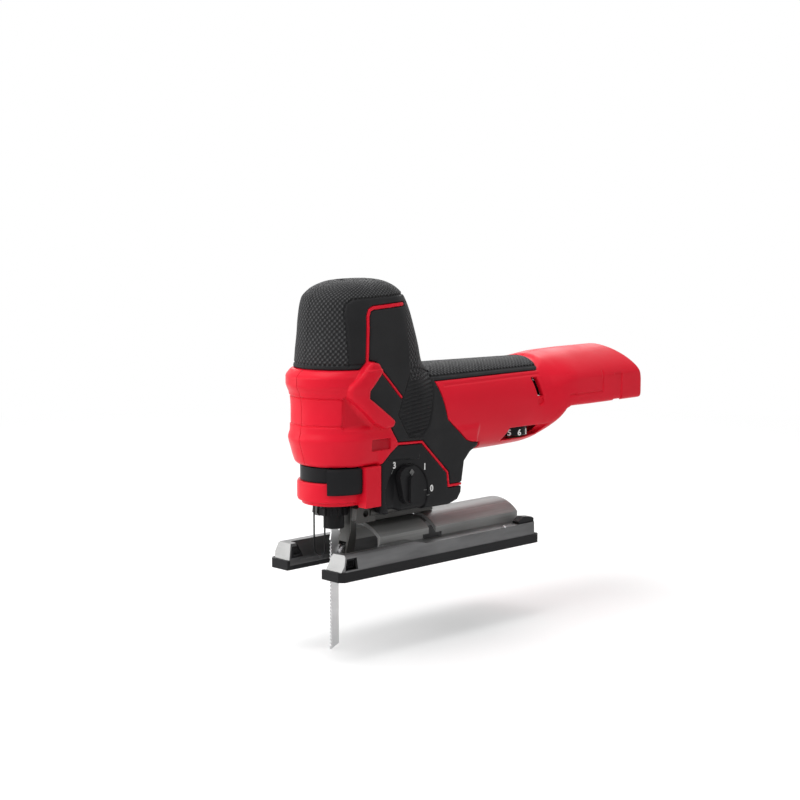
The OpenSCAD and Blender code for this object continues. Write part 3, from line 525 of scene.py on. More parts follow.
class Surface(Nodes):
    """A material with one principled shader."""

    def __init__(self, name):
        self.material = bpy.data.materials.new(name)
        super().__init__(self.material)
        self.out = self.tree.nodes.new("ShaderNodeOutputMaterial")
        self.shader = self.tree.nodes.new("ShaderNodeBsdfPrincipled")
        self.link(self.shader.outputs[0], self.out.inputs[0])

    def set(self, **values):
        """Feeds the shader's sockets, named with underscores for spaces."""
        for key, value in values.items():
            self.feed(self.shader.inputs[key.replace("_", " ")], value)


def rgb(r, g, b, scale=1.0):
    return (r * scale, g * scale, b * scale, 1.0)


def moulded_plastic(name, colour, dark, roughness, grain_mm, grain_depth, shine=0.1, plate_tone_and_painted_shade=None):
    """Moulded plastic: fine spark-eroded grain, slight colour drift and worn, smoother patches.

    The last colour, where given, goes where the mesh's recess attribute says: on the label plate, which is
    darker itself, and into the hollow under the bracket as painted shade.
    """
    n = Surface(name)
    at = n.object_mm()
    drift = n.ramp(n.noise(at, 0.02, 3), 0.3, 0.7, 0, 1)
    grain = n.noise(at, 1 / grain_mm, 3, 0.6)
    wear = n.noise(at, 0.06, 4)
    base = n.mix(drift, dark, colour)
    if plate_tone_and_painted_shade:
        base = n.mix(n.attribute("recess", "Fac"), base, plate_tone_and_painted_shade)
    n.set(Base_Color=base, Specular_IOR_Level=shine,
          Roughness=n.ramp(wear, 0.3, 0.75, roughness - 0.05, roughness + 0.07),
          Normal=n.bump(grain, grain_depth))
    return n.material


def rubber_material():
    """Overmoulded elastomer: scales where the mask says so, with painted highlight on their lighter tips,
    fine grain elsewhere.
    """
    n = Surface("rubber_grip")
    at = n.object_mm()
    place = n.attribute("grain_place", "Vector")
    mask = n.attribute("scale_mask", "Fac")
    wobble = n.add("ShaderNodeTexNoise", {"Vector": place, "Scale": 0.55, "Detail": 1.0}).outputs["Color"]
    place = n.vector("ADD", place, n.vector("MULTIPLY", wobble, (0.35, 0.35, 0.35)))
    across, along, _ = n.add("ShaderNodeSeparateXYZ", {0: place}).outputs
    waves = n.math("MULTIPLY", n.math("COSINE", n.math("MULTIPLY", across, 2 * math.pi)),
                   n.math("COSINE", n.math("MULTIPLY", along, 2 * math.pi)))
    dome = n.ramp(waves, -0.5, 0.8, 0.0, 1.0)
    fine = n.noise(at, 2.4, 3, 0.6)
    height = n.math("ADD", n.math("MULTIPLY", n.math("MULTIPLY", dome, mask), 0.62),
                    n.math("MULTIPLY", fine, 0.06))
    tone = n.ramp(n.noise(at, 0.05, 3), 0.3, 0.7, 0, 1)
    base = n.mix(tone, rgb(0.0105, 0.0105, 0.0113), rgb(0.0145, 0.0145, 0.0153))
    # The scales' tips are mixed towards a lighter colour: painted highlight.
    painted_tip_highlight = n.math("MULTIPLY", n.math("POWER", dome, 1.6), mask)
    n.set(Base_Color=n.mix(n.math("MULTIPLY", painted_tip_highlight, 0.8), base, rgb(0.078, 0.078, 0.08)),
          Specular_IOR_Level=0.13, Roughness=n.ramp(mask, 0, 1, 0.52, 0.58),
          Normal=n.bump(height, 1.0))
    return n.material


def brushed_metal(name, colour, roughness, stretch, tint=0.12, cloud=0.18, metallic=1.0):
    """Metal with fine lines, long where stretch is small, and broad darker clouds."""
    n = Surface(name)
    at = n.object_mm()
    lines = n.noise(n.vector("MULTIPLY", at, stretch), 1.0, 5, 0.65)
    patches = n.noise(n.vector("MULTIPLY", at, (0.35, 1.0, 1.6)), 0.05, 3)
    shade = n.mix(n.ramp(lines, 0.3, 0.7, 0, 1), rgb(*colour, 1 - tint), rgb(*colour))
    n.set(Base_Color=n.mix(n.ramp(patches, 0.35, 0.65, 0, 1), shade, rgb(*colour, 1 - cloud)),
          Metallic=metallic, Roughness=n.ramp(lines, 0.3, 0.7, roughness - 0.05, roughness + 0.06),
          Normal=n.bump(lines, 0.012))
    return n.material


def cast_metal(name, colour, metallic, roughness):
    """Painted or bead-blasted casting."""
    n = Surface(name)
    at = n.object_mm()
    cells = n.noise(at, 1.3, 4, 0.6)
    cloud = n.noise(at, 0.05, 3)
    n.set(Base_Color=n.mix(n.ramp(cloud, 0.3, 0.7, 0, 1), rgb(*colour, 0.8), rgb(*colour)),
          Metallic=metallic, Roughness=n.ramp(cells, 0.3, 0.7, roughness - 0.06, roughness + 0.08),
          Normal=n.bump(cells, 0.05))
    return n.material


def print_paint(name, level):
    """Pad-printed marking."""
    n = Surface(name)
    speckle = n.noise(n.object_mm(), 3.0, 2)
    worn, fresh = rgb(level, level, level, 0.8), rgb(level, level, level * 0.98)
    n.set(Base_Color=n.mix(n.ramp(speckle, 0.35, 0.6, 0, 1), worn, fresh), Roughness=0.5)
    return n.material


def winding_metal():
    """Enamelled copper wire, side by side."""
    n = Surface("winding")
    at = n.object_mm()
    wave = n.add("ShaderNodeTexWave", {"Vector": at, "Scale": 0.9, "Distortion": 0.6},
                 wave_type="BANDS", bands_direction="X").outputs["Fac"]
    n.set(Base_Color=n.mix(wave, rgb(0.30, 0.10, 0.03), rgb(0.62, 0.27, 0.10)), Metallic=0.9,
          Roughness=0.3, Normal=n.bump(wave, 0.2))
    return n.material


# The red's last colour darkens the label plate, which is darker itself, and paints shade into the hollow
# under the bracket.
RED = moulded_plastic("red_nylon", rgb(0.70, 0.0085, 0.027), rgb(0.65, 0.0072, 0.023), 0.36, 0.55, 0.010,
                      0.13, rgb(0.42, 0.0055, 0.016))
BLACK = moulded_plastic("black_nylon", rgb(0.0145, 0.0145, 0.0155), rgb(0.0105, 0.0105, 0.0115), 0.38,
                        0.5, 0.016)
GLOSSY_BLACK = moulded_plastic("wheel_black", rgb(0.008, 0.008, 0.0085), rgb(0.006, 0.006, 0.0065), 0.3,
                               0.6, 0.004)
RUBBER_SKIN = rubber_material()
RAIL_METAL = brushed_metal("satin_aluminium", (0.17, 0.17, 0.173), 0.36, (0.02, 1.6, 1.6), cloud=0.45,
                           metallic=0.75)
# Lighter copy of the shoe's aluminium for the rails' milled front ends: painted light on the faces that
# look to the front.
FRONT_END_PAINTED_LIGHT = brushed_metal("milled_aluminium_painted_light", (0.30, 0.30, 0.297), 0.4, (1.6, 0.05, 1.6))
EDGE_METAL = brushed_metal("light_edge_metal", (0.46, 0.46, 0.455), 0.32, (0.05, 1.2, 1.2))
BRIDGE_METAL = brushed_metal("bridge_aluminium", (0.33, 0.33, 0.325), 0.5, (0.015, 1.1, 1.1), tint=0.3,
                             cloud=0.3, metallic=0.5)
# Darker copy for the crest of the bridge: painted shade and dark reflection along the crest.
BRIDGE_CREST_PAINTED_SHADE = brushed_metal("bridge_crest_painted_shade", (0.21, 0.21, 0.207), 0.4, (0.015, 1.1, 1.1), tint=0.4,
                           metallic=0.6)
BRIGHT_STEEL = brushed_metal("ground_steel", (0.62, 0.62, 0.63), 0.25, (0.6, 2.2, 0.1))
BLADE_STEEL = brushed_metal("blade_steel", (0.66, 0.66, 0.665), 0.36, (1.8, 1.8, 0.08), tint=0.2)
DARK_CASTING = cast_metal("dark_casting", (0.046, 0.045, 0.042), 0.4, 0.42)
CAST_EDGE = cast_metal("casting_edge", (0.16, 0.155, 0.145), 0.5, 0.38)
GREY_CASTING = cast_metal("grey_casting", (0.16, 0.16, 0.155), 0.75, 0.38)
LAMINATE = brushed_metal("laminations", (0.30, 0.30, 0.32), 0.4, (3.0, 0.1, 0.1), tint=0.5)
BRONZE = cast_metal("sintered_bronze", (0.42, 0.26, 0.12), 0.9, 0.42)
FELT = moulded_plastic("felt", rgb(0.10, 0.095, 0.09), rgb(0.06, 0.058, 0.055), 0.85, 0.3, 0.2)
BOARD = moulded_plastic("circuit_board", rgb(0.02, 0.12, 0.045), rgb(0.015, 0.09, 0.035), 0.4, 1.2, 0.03)
COPPER = winding_metal()
PRINT = print_paint("white_print", 0.8)
FAINT_PRINT = print_paint("grey_print", 0.09)

# CAD nodes that are seen as they are, with their materials
CARRIED = {
    "gear_frame": GREY_CASTING, "upper_bush": BRONZE, "lower_bush": BRONZE, "plunger_seal": FELT,
    "roller_pivot": BRIGHT_STEEL, "front_bearing": BRIGHT_STEEL, "rear_bearing": BRIGHT_STEEL,
    "gear_bearing": BRIGHT_STEEL, "stator_core": LAMINATE, "stator_coils": COPPER,
    "control_module": GREY_CASTING, "switch_module": BLACK, "speed_sensor": BOARD,
    "housing_screws": BRIGHT_STEEL, "frame_screws": BRIGHT_STEEL, "bevel_screw": BRIGHT_STEEL,
    "clamp_plate": GREY_CASTING, "rotor_shaft": BRIGHT_STEEL, "rotor_core": LAMINATE, "fan": BLACK,
    "pinion": BRIGHT_STEEL, "drive_gear": BRIGHT_STEEL, "crank_roller": BRIGHT_STEEL,
    "plunger_rod": BRIGHT_STEEL, "yoke": GREY_CASTING, "orbit_cam": BRIGHT_STEEL,
    "roller_pin": BRIGHT_STEEL, "guide_roller": BRIGHT_STEEL,
}
for node_name, material in CARRIED.items():
    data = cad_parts[node_name].data
    data.materials.clear()
    data.materials.append(material)


# ---------- moulded skins ----------

LABEL = (26.4, 102.6, 121.4)      # half width, foot and top of the front panel
LABEL_CORNER = 2.5
LABEL_DEPTH, HOLLOW_DEPTH, PLATE_DEPTH, BAND_DEPTH = 0.45, 2.8, 1.3, 0.9
VENT = [(175.5, 108), (181.5, 108), (176.8, 121.8), (170.8, 122)]
PLATE = [(7.4, 84.7), (24, 84.7), (24, 92.2), (7.4, 92.2)]
HOLLOW = [(-13, 121.5), (-13.5, 101.6), (6, 101.6), (-4, 111), (-12, 120)]
WINDOW = [(142.6, 77.6), (147.4, 86.8), (189.5, 86.2), (181, 79.2), (166, 77.6)]
VENT_RIB = ((166, -1.4, 96), (187, 1.4, 134))      # web on the centre plane, between the two vents
BRACKET_CORE = inset(CHEVRON, 3.0)
FOOT_SEAM = [(243, 124), (242.4, 107.1), (205.5, 107.1)]
FOOT_BAND = [(256.4, 90), (265.6, 90), (265.6, 119.3), (256.4, 119.3)]
BLIND_HOLE = (178.6, 104.4, 3.1)  # X, Z and radius of the shallow hole in the side panel
PAD_RIDGE, PAD_PITCH = 0.42, 2.7  # half depth and spacing of the thumb pad's ridges
DIAL_RECESS, DIAL_BORE = 20.6, 5.4

# Boxes that are cut away: the battery's bay and its key, the slider's opening, the head's mouth, and
# the inside and the front of the gear case
BAY = (204, -34.6, 90), (330, 34.6, 122.6)
KEY = (204, -24, 120), (330, 24, 131)
SLIDER_OPENING = (101.5, 15, 107.4), (120.5, 65, 115.4)
HEAD_MOUTH = (-10, -23.5, 60), (60, 23.5, 79)
CASE_INSIDE = (0, -23.8, 20), (130, 23.8, 44.6)
CASE_FRONT = (0, -23.5, 20), (21, 23.5, 90)


FAR = 50.0              # a distance at which a feature has no effect


def box_field(x, y, z, low, high):
    """Distance to a box, from the nearest of its faces' planes."""
    c = [(a + b) / 2 for a, b in zip(low, high)]
    h = [(b - a) / 2 for a, b in zip(low, high)]
    beside = np.maximum(np.abs(x - c[0]) - h[0], np.abs(y - c[1]) - h[1])
    return np.maximum(beside, np.abs(z - c[2]) - h[2])


def groove(d, line, half, depth):
    """A surface with a round-bottomed channel cut along where line is zero."""
    return smooth_max(d, -np.hypot(line, np.maximum(-d, 0) * half / depth) + half, 0.35)


def raised_part(outline, x, z, fade):
    """1 inside an outline and 0 outside, with a ramp of width fade between them."""
    return np.clip(0.5 - polygon_field(outline, x, z) / fade, 0, 1)


def label_field(x, y, z):
    """Distance to the front panel's rounded outline, seen from the front."""
    half_h = (LABEL[2] - LABEL[1]) / 2
    u = np.abs(y) - LABEL[0] + LABEL_CORNER
    v = np.abs(z - (LABEL[1] + LABEL[2]) / 2) - half_h + LABEL_CORNER
    beyond = np.hypot(np.maximum(u, 0), np.maximum(v, 0))
    return np.where(x < 0, beyond + np.minimum(np.maximum(u, v), 0) - LABEL_CORNER, FAR)


def red_skin(x, y, z, d):
    """The red surface with its grooves, recesses and raised bracket."""
    label = label_field(x, y, z)
    out = d + LABEL_DEPTH * np.clip(0.5 - label / 0.9, 0, 1)
    out = groove(out, label, 0.6, 0.8)
    out = out + HOLLOW_DEPTH * raised_part(HOLLOW, x, z, 4.0)
    out = smooth_max(out, -np.maximum(polygon_field(PLATE, x, z), -(d + PLATE_DEPTH)), 0.25)
    out = groove(out, line_field([(80.5, 123.2), (180, 124)], x, z), 0.8, 0.5)
    on_foot = np.where(np.abs(y) > 36, line_field(FOOT_SEAM, x, z), FAR)
    out = groove(out, on_foot, 0.6, 0.8)
    out = smooth_max(out, -np.maximum(polygon_field(FOOT_BAND, x, z), -(d + BAND_DEPTH)), 0.3)
    lift = BRACKET + 0.1 * np.clip(x + 7, -10, 12)
    bracket = smooth_max(d - lift, polygon_field(BRACKET_CORE, x, z) - 2.6, 2.8)
    bracket = np.maximum(bracket, z - 150)
    return smooth_min(out, bracket, 0.5)


def inside_spaces(x, y, z, side):
    """Bay, vents and openings cut through the housing."""
    cut = np.minimum(box_field(x, y, z, *BAY), box_field(x, y, z, *KEY))
    vent = np.maximum(polygon_field(VENT, x, z), 20 - np.abs(y))
    cut = np.minimum(cut, vent)
    if side < 0:
        slope = -(body_field(x, y, z) + 0.42 * np.maximum(190 - x, 0))
        window = np.maximum(polygon_field(WINDOW, x, z), 18 - np.abs(y))
        cut = np.minimum(cut, np.maximum(window, slope))
    else:
        cut = np.minimum(cut, box_field(x, y, z, *SLIDER_OPENING))
    return np.minimum(cut, box_field(x, y, z, *HEAD_MOUTH))


def housing_field(side):
    """One half of the red shell: -1 is the left side, which has negative Y."""
    def field(x, y, z):
        d = body_field(x, y, z)
        region = red_field(x, z)
        red = smooth_max(red_skin(x, y, z, d), region, 0.7)
        shell = smooth_min(red, d + RUBBER, 0.5)
        shell = smooth_max(shell, -(d + SHELL), 0.6)
        shell = smooth_max(shell, -polygon_field(COVER, x, z), 0.5)
        hole = np.hypot(x - BLIND_HOLE[0], z - BLIND_HOLE[1]) - BLIND_HOLE[2]
        shell = smooth_max(shell, -np.maximum(hole, -(d + 1.6)), 0.6)
        shell = smooth_max(shell, -inside_spaces(x, y, z, side), 0.8)
        rib = np.maximum(box_field(x, y, z, *VENT_RIB), d + 3)
        shell = smooth_min(shell, rib, 0.4)
        return smooth_max(shell, -side * y + SEAM, 0.25)
    return field


def scale_zone(x, y, z):
    """How much of the fine scale pattern a point of the rubber carries, from 0 to 1."""
    on_tower = polygon_field(TEXTURE_EDGE + [(60, 260), (-90, 260), (-90, 143)], x, z)
    on_barrel = np.maximum(129.8 - z, np.maximum(x - 184 + 0.22 * np.abs(y), 50 - x))
    behind = np.maximum(44 - x, 130 - z)
    return np.clip(0.5 - np.minimum(np.minimum(on_tower, on_barrel), behind) / 1.2, 0, 1)


def grip_field(side):
    """One half of the rubber overmould."""
    def field(x, y, z):
        d = body_field(x, y, z)
        pad = polygon_field(PAD, x, z)
        ridge = np.cos((z - 0.12 * x) * 2 * math.pi / PAD_PITCH)
        outer = d + PAD_RIDGE * (1 - ridge) * np.clip(-pad / 1.4, 0, 1)
        outer = groove(outer, np.abs(pad), 0.7, 0.8)
        outer = groove(outer, line_field(TEXTURE_EDGE, x, z), 0.7, 0.8)
        outer = groove(outer, line_field(GRIP_TOP_EDGE, x, z), 0.7, 0.7)
        outer = groove(outer, np.where(x < 0, np.abs(z - 143.6), FAR), 0.6, 0.6)
        skin = smooth_max(outer, -(d + RUBBER), 0.2)
        skin = smooth_max(skin, -(red_field(x, z) - GROOVE), 1.1)
        skin = smooth_max(skin, -(polygon_field(COVER, x, z) - 0.3), 0.8)
        rear = np.maximum(x - 187.6 + 0.22 * np.abs(y), (x - 199) * 0.9)
        skin = smooth_max(skin, rear, 0.8)
        skin = smooth_max(skin, -inside_spaces(x, y, z, side), 0.8)
        return smooth_max(skin, -side * y + SEAM, 0.25)
    return field


def cover_field(side):
    """One gear case cover, with its ledge and, on the left, the orbit dial's recess."""
    def field(x, y, z):
        d = smooth_max(polygon_field(CASE, x, z), np.abs(y) - CASE_HALF_W, 3)
        ledge = z + 0.05 * (x - 37)
        slope, lip = np.clip((79.6 - ledge) / 3.4, 0, 1), np.clip((ledge - 75.8) / 0.4, 0, 1)
        d = d - slope * lip * np.clip(np.minimum(x - 22, 52.4 - x) / 0.6, 0, 1)
        skin = smooth_max(d, polygon_field(COVER, x, z) + 0.15, 1.0)
        skin = smooth_max(skin, -(d + SHELL), 0.5)
        skin = smooth_max(skin, -box_field(x, y, z, *CASE_INSIDE), 0.4)
        skin = smooth_max(skin, -box_field(x, y, z, *CASE_FRONT), 0.4)
        if side < 0:
            away = np.hypot(x - DIAL[0], z - DIAL[1])
            floor = 0.9 + 1.9 * np.clip((35 - x) / 5, 0, 1)
            skin = smooth_max(skin, -np.maximum(away - DIAL_RECESS, -(d + floor)), 0.5)
            skin = smooth_max(skin, -(away - DIAL_BORE), 0.3)
        return smooth_max(skin, -side * y + COVER_SEAM, 0.5)
    return field


def grain_coordinates(p):
    """Unrolled coordinates of the rubber, in cells of its scale pattern."""
    x, y, z = p.T
    xf, _, xr, _ = lookup(HEAD_ROWS, np.clip(z, 76, 199.5))
    front = np.arctan2(np.abs(y), np.maximum(xf - x, 0)) * HEAD_BEND
    back = np.arctan2(np.maximum(x - xr, 0), np.abs(y)) * HEAD_BEND
    around = (front + np.clip(x - xf, 0, xr - xf) + back) * np.sign(y)
    radial = np.hypot(np.maximum(np.abs(x - (xf + xr) / 2) - (xr - xf) / 2, 0), y)
    up = z + np.maximum(0, 27.5 - radial) * (z > 176)
    tower = np.stack([around / CELL[0], up / CELL[1], np.zeros(len(p))], 1)
    roll = np.arctan2(y, z - 104) * BARREL_BEND
    barrel = np.stack([x / CELL[0] + 100, roll / CELL[1], np.zeros(len(p))], 1)
    on_barrel = (x > 52) | ((x > 40) & (z < 141))
    return np.where(on_barrel[:, None], barrel, tower)


def build_skins():
    """Shell, rubber and gear case cover of each side."""
    for side, name in ((-1, "left"), (1, "right")):
        y0, y1 = (-40, 1) if side < 0 else (-1, 40)
        low, high = (-36, y0, 36), (293, y1, 202)
        shell = moulded(f"housing_{name}_skin", housing_field(side), low, high, SHELL_GRID, RED,
                        "housing", [f"housing_{name}"])
        x, _, z = piece_points(shell).T
        # recess is 1 on the label plate, its own darker tone, and 0.6 in the hollow under the bracket,
        # where it paints shade
        recess = np.maximum(raised_part(PLATE, x, z, 0.8), 0.6 * raised_part(HOLLOW, x, z, 3.0))
        set_attribute(shell, "recess", "FLOAT", recess)
        grip = moulded(f"grip_{name}_skin", grip_field(side), low, (202, y1, 202), SKIN_GRID,
                       RUBBER_SKIN, "housing", [f"grip_{name}"])
        p = piece_points(grip)
        set_attribute(grip, "scale_mask", "FLOAT", scale_zone(*p.T))
        set_attribute(grip, "grain_place", "FLOAT_VECTOR", grain_coordinates(p))
        moulded(f"side_cover_{name}_skin", cover_field(side), (12, y0, 34), (104, y1, 90), SKIN_GRID,
                BLACK, "housing", [f"side_cover_{name}"])


build_skins()


# ---------- parts that follow the CAD's own shapes ----------

def shoe_face(at, normal):
    """The shoe's material at a face: 2 on the rails' milled front ends, lighter to paint in the light that
    falls on faces that look to the front, 4 on the crest of the bridge between the rails, darker to paint
    in shade and dark reflection there, 3 on the rest of the bridge, and 0 elsewhere."""
    if normal.x < -0.8 and at.x < -16:
        return 2
    if abs(at.y) < 21.4 and at.z > 12:
        return 4 if at.z > 27.6 else 3
    return 0


for node_name, width, material, slot_name, body_name, edge_material in (
        ("front_guard", 0.9, RED, "red_shell", "housing", None),
        ("nose_sleeve", 0.4, BLACK, "black_plastic", "housing", None),
        ("saddle", 0.6, DARK_CASTING, "cast_zinc", "housing", CAST_EDGE),
        ("terminal_block", 0.3, BLACK, "black_plastic", "housing", None),
        ("release_lever", 1.6, BLACK, "black_plastic", "lever", None),
        ("orbit_dial", 0.5, BLACK, "black_plastic", "dial", None),
        ("clamp_body", 0.4, BLACK, "black_plastic", "plunger", None),
        ("clamp_collar", 0.3, BLACK, "black_plastic", "collar", None),
        ("roller_arm", 0.5, DARK_CASTING, "cast_zinc", "arm", CAST_EDGE),
        ("power_slider", 0.5, BLACK, "black_plastic", "switch", None),
        ("fence_bushes", 0.3, BLACK, "black_plastic", "sole", None),
        ("shoe_cover", 0.6, BLACK, "black_plastic", "sole", None),
        ("blade", 0.08, BLADE_STEEL, "blade_steel", "plunger", None)):
    soften(node_name, width, material, slot_name, body_name, edge_material)
shoe = soften("shoe", 0.5, RAIL_METAL, "shoe_metal", "sole", EDGE_METAL, shoe_face)
for material in (FRONT_END_PAINTED_LIGHT, BRIDGE_METAL, BRIDGE_CREST_PAINTED_SHADE):
    shoe.data.materials.append(material)


WIRE_X, WIRE_HALF_W, WIRE_TOP = -13.2, 5.5, 65.5


def build_wire():
    """Bent wire in front of the blade: two legs and a half loop between their feet."""
    curve = bpy.data.curves.new("wire_guard_line", "CURVE")
    curve.dimensions = "3D"
    curve.bevel_depth = 0.6 * MM
    curve.bevel_resolution = 4
    curve.use_fill_caps = True
    curve.resolution_u = 8
    points = [(WIRE_X, -WIRE_HALF_W, level) for level in (WIRE_TOP, 40, 18)]
    points += [(WIRE_X, -WIRE_HALF_W * math.cos(a), 16 - 5.4 * math.sin(a))
               for a in np.linspace(0, math.pi, 9)]
    points += [(WIRE_X, WIRE_HALF_W, level) for level in (18, 40, WIRE_TOP)]
    spline = curve.splines.new("POLY")
    spline.points.add(len(points) - 1)
    for point, at in zip(spline.points, points):
        point.co = (*[c * MM for c in at], 1)
    curve.materials.append(BLACK)
    piece = bpy.data.objects.new("wire_guard_line", curve)
    bpy.context.scene.collection.objects.link(piece)
    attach(piece, "housing")
    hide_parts("wire_guard")


WHEEL = (163, -14.6, 83.2)        # centre of the speed wheel
WHEEL_HALF_H, WHEEL_R, WHEEL_BORE = 3.5, 12.3, 2.4
WHEEL_SIDES = 180
FIGURE = 6.2            # height setting of the printed figures


def build_speed_wheel():
    """Wheel with a plain band for its numbers, and ribs on the rest of its rim."""
    around = np.linspace(0, 2 * math.pi, WHEEL_SIDES + 1)[:-1]
    plain = np.abs(np.degrees(around) - 256) < 92
    rim = WHEEL_R + np.where(plain, 0, 0.2 + 0.2 * np.sign(np.cos(around * 45)))
    bore = np.full(WHEEL_SIDES, WHEEL_BORE)
    rings = [(bore, WHEEL_HALF_H), (rim - 2.2, WHEEL_HALF_H), (rim - 0.5, WHEEL_HALF_H),
             (rim, WHEEL_HALF_H - 0.5), (rim, 0.5 - WHEEL_HALF_H), (rim - 0.5, -WHEEL_HALF_H),
             (bore, -WHEEL_HALF_H)]
    points, faces = [], []
    for r, level in rings:
        points += list(zip(WHEEL[0] + r * np.cos(around), WHEEL[1] + r * np.sin(around),
                           np.full(WHEEL_SIDES, WHEEL[2] + level)))
    for ring in range(len(rings)):
        below, above = (ring + 1) % len(rings) * WHEEL_SIDES, ring * WHEEL_SIDES
        for k in range(WHEEL_SIDES):
            after = (k + 1) % WHEEL_SIDES
            faces.append((above + k, below + k, below + after, above + after))
    add_mesh("speed_wheel", points, faces, GLOSSY_BLACK, "speed", ["speed_dial"], 30)
    for text, angle in (("4", 183), ("5", 219.5), ("6", 256), ("0", 292), ("1", 328)):
        a = math.radians(angle)
        r = WHEEL_R + 0.05
        at = (WHEEL[0] + r * math.cos(a), WHEEL[1] + r * math.sin(a), WHEEL[2] - 3.2)
        number(text, at, a + math.pi / 2, "speed")


def number(text, at, turn, body):
    """One printed figure that stands upright on a point; at turn 0 it reads from the left side."""
    curve = bpy.data.curves.new(f"{body}_{text}", "FONT")
    curve.body = text
    curve.size = FIGURE * MM
    curve.align_x = "CENTER"
    curve.offset = 0.03 * FIGURE * MM
    curve.extrude = 0.04 * MM
    curve.materials.append(PRINT)
    piece = bpy.data.objects.new(f"{body}_{text}", curve)
    upright = Matrix.Rotation(math.pi / 2, 4, "X")
    piece.matrix_world = Matrix.Translation(Vector(at) * MM) @ Matrix.Rotation(turn, 4, "Z") @ upright
    bpy.context.scene.collection.objects.link(piece)
    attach(piece, body)


def flat_mark(name, outline, level, body):
    """A thin printed shape on a face that looks to the left side, given in X and Z."""
    count = len(outline)
    points = [(u, level, v) for u, v in outline] + [(u, level - 0.06, v) for u, v in outline]
    faces = [list(range(count)), list(range(2 * count - 1, count - 1, -1))]
    faces += [[k, k + count, (k + 1) % count + count, (k + 1) % count] for k in range(count)]
    add_mesh(name, points, faces, FAINT_PRINT, body)


def polar(radius, angle):
    """X and Z of a place round the orbit dial's axis."""
    a = math.radians(angle)
    return DIAL[0] + radius * math.cos(a), DIAL[1] + radius * math.sin(a)


def build_marks():
    """Figures and ticks beside the orbit dial, and the dial's own marker."""
    for text, angle in (("3", 119.8), ("1", 44.3), ("0", 1.7)):
        u, v = polar(24.1, angle)
        number(text, (u, -CASE_HALF_W - 0.02, v - 2.2), 0, "housing")
    ticks = ((21.6, 130.7, 60), (16.3, 46, 20), (18.6, 0, 0), (20.8, -10.4, 0))
    for index, (radius, angle, lean) in enumerate(ticks):
        u, v = polar(radius, angle)
        c, s = math.cos(math.radians(lean)), math.sin(math.radians(lean))
        outline = [(u + c * a - s * b, v + s * a + c * b)
                   for a, b in ((-1.5, -0.3), (1.5, -0.3), (1.5, 0.3), (-1.5, 0.3))]
        in_recess = radius < DIAL_RECESS - 0.2
        flat_mark(f"tick_{index}", outline, -CASE_HALF_W + (0.9 if in_recess else 0), "housing")
    diamond = [(38.4, 67.0), (40.8, 64.4), (43.2, 67.0), (40.8, 69.6)]
    flat_mark("dial_marker", diamond, -34.98, "dial")


RIVET = (136.5, 33.9, 16.5)       # top of the right rail's rivet; the left one has the opposite Y


def build_rivets():
    """Small domed rivets on the crests of the rails."""
    turns = 16
    for side in (-1, 1):
        x0, y0, top = RIVET[0], side * RIVET[1], RIVET[2]
        points, faces = [(x0, y0, top)], []
        for drop, r in ((0.35, 0.8), (0.6, 1.15)):
            points += [(x0 + r * math.cos(t), y0 + r * math.sin(t), top - drop)
                       for t in np.linspace(0, 2 * math.pi, turns + 1)[:-1]]
        points += [(x, y, 14.0) for x, y, _ in points[-turns:]]
        faces += [(0, 1 + k, 1 + (k + 1) % turns) for k in range(turns)]
        for ring in (0, 1):
            a, b = 1 + ring * turns, 1 + (ring + 1) * turns
            faces += [(a + k, b + k, b + (k + 1) % turns, a + (k + 1) % turns) for k in range(turns)]
        faces.append(tuple(1 + 2 * turns + k for k in reversed(range(turns))))
        add_mesh(f"rivet_{side}", points, faces, BRIGHT_STEEL, "sole")


build_wire()
build_rivets()
build_speed_wheel()
build_marks()


# ---------- stage, lights and camera ----------

def seen_rays(n):
    """1 for camera, glossy and transmission rays, else 0."""
    path = n.add("ShaderNodeLightPath")
    return n.math("MAXIMUM", path.outputs["Is Camera Ray"],
                  n.math("MAXIMUM", path.outputs["Is Glossy Ray"], path.outputs["Is Transmission Ray"]))


def floor_material():
    """Pale floor: it keeps the shadow near the object and runs out into even white."""
    n = Surface("floor_pale")
    at = n.add("ShaderNodeTexCoord").outputs["Object"]
    away = n.add("ShaderNodeVectorMath", {0: at}, operation="LENGTH").outputs["Value"]
    near = n.ramp(away, 0.25, 1.3, 1.0, 0.0)
    seen = seen_rays(n)
    n.set(Base_Color=n.mix(n.math("MULTIPLY", seen, n.math("SUBTRACT", 1.0, near)),
                           rgb(0.8, 0.8, 0.8), rgb(0.0, 0.0, 0.0)), Roughness=0.9,
          Specular_IOR_Level=0.0)
    level = n.math("SUBTRACT", 1.0, n.math("MULTIPLY", near, 0.82))
    glow = n.add("ShaderNodeEmission",
                 {"Color": rgb(1, 1, 1), "Strength": n.math("MULTIPLY", seen, level)})
    both = n.add("ShaderNodeAddShader", {0: n.shader.outputs[0], 1: glow.outputs[0]})
    n.link(both.outputs[0], n.out.inputs[0])
    return n.material


def build_stage():
    """Floor just under the lowest point."""
    floor_z = cad_box[0][2] - 0.0004
    mesh = bpy.data.meshes.new("floor")
    bm = bmesh.new()
    bmesh.ops.create_grid(bm, x_segments=8, y_segments=8, size=4.0)
    bm.to_mesh(mesh)
    bm.free()
    floor = bpy.data.objects.new("floor", mesh)
    floor.location = (0.1, 0, floor_z)
    mesh.materials.append(floor_material())
    bpy.context.scene.collection.objects.link(floor)


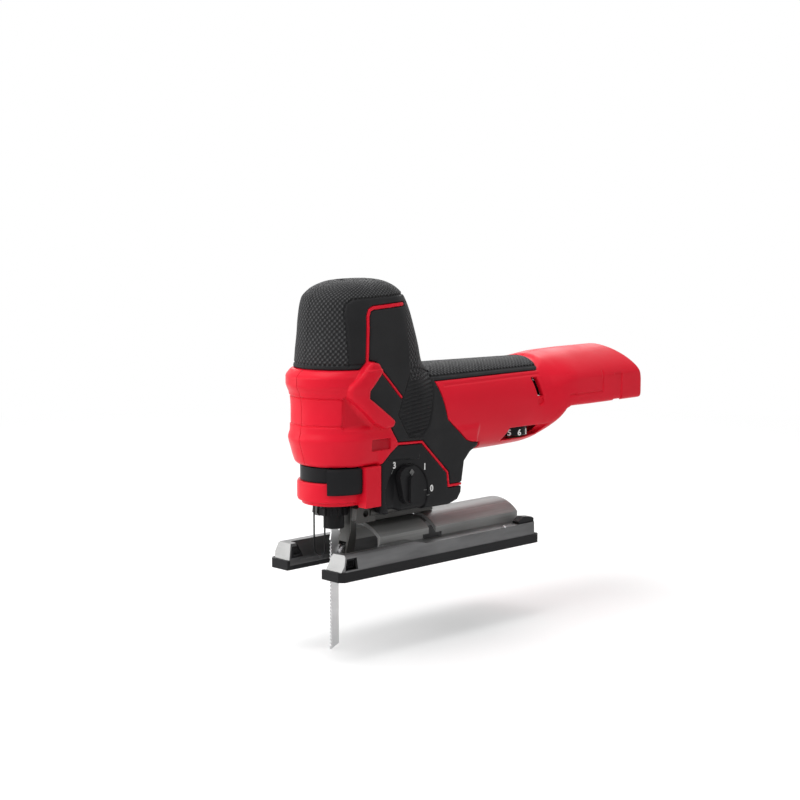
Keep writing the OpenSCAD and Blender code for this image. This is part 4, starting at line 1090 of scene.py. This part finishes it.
def build_world():
    """White backdrop; the light that it gives grows from the low right to the upper left."""
    world = bpy.data.worlds.new("studio")
    n = Nodes(world)
    way = n.add("ShaderNodeTexCoord").outputs["Generated"]
    along = n.add("ShaderNodeVectorMath", {0: way, 1: (-0.55, 0.36, 0.75)},
                  operation="DOT_PRODUCT").outputs["Value"]
    soft = n.add("ShaderNodeMapRange", {0: along, 1: -0.7, 2: 0.9, 3: 0.10, 4: 0.85},
                 interpolation_type="SMOOTHSTEP").outputs[0]
    seen = seen_rays(n)
    level = n.math("ADD", seen, n.math("MULTIPLY", n.math("SUBTRACT", 1.0, seen), soft))
    shine = n.add("ShaderNodeBackground", {"Color": (1, 1, 1, 1), "Strength": level})
    n.link(shine.outputs[0], n.add("ShaderNodeOutputWorld").inputs[0])
    bpy.context.scene.world = world


# Area lamps: place in metres, size and power
LAMPS = {
    "key": ((-1.05, 0.12, 0.75), (0.8, 0.6), 5.1),
    "side": ((-0.85, 0.95, 0.25), (0.8, 0.7), 4.5),
    "fill": ((0.25, -1.15, 0.75), (0.7, 0.6), 1.5),
    "rim": ((0.8, 0.8, 0.7), (0.8, 0.5), 3),
    "top": ((-0.1, 0.1, 1.25), (0.9, 0.6), 7),
}


def build_lights():
    """Rectangular lamps, all turned to the middle of the object."""
    centre = Vector((0.10, 0, 0.08))
    for name, (at, size, power) in LAMPS.items():
        light = bpy.data.lights.new(name, "AREA")
        light.shape = "RECTANGLE"
        light.size, light.size_y = size
        light.energy = power
        lamp = bpy.data.objects.new(name, light)
        lamp.location = at
        lamp.rotation_euler = (centre - Vector(at)).to_track_quat("-Z", "Y").to_euler()
        bpy.context.scene.collection.objects.link(lamp)


EYE = (-0.7682, -0.8610, 0.2590)  # camera place in metres
AZIMUTH, ELEVATION, LENS = math.radians(-44), math.radians(7), 76.7


def build_camera():
    """The photo's view: turned round Z by the azimuth, then raised by the elevation, without roll."""
    level = math.cos(ELEVATION)
    back = Vector((math.sin(AZIMUTH) * level, -math.cos(AZIMUTH) * level, math.sin(ELEVATION)))
    right = Vector((math.cos(AZIMUTH), math.sin(AZIMUTH), 0))
    up = back.cross(right)
    camera = bpy.data.cameras.new("camera")
    camera.lens = LENS
    camera.sensor_width = 36
    camera.clip_end = 20
    holder = bpy.data.objects.new("camera", camera)
    holder.matrix_world = Matrix((*zip(right, up, back, EYE), (0, 0, 0, 1)))
    bpy.context.scene.collection.objects.link(holder)
    bpy.context.scene.camera = holder


build_stage()
build_world()
build_lights()
build_camera()
bpy.context.scene.view_settings.view_transform = "Standard"
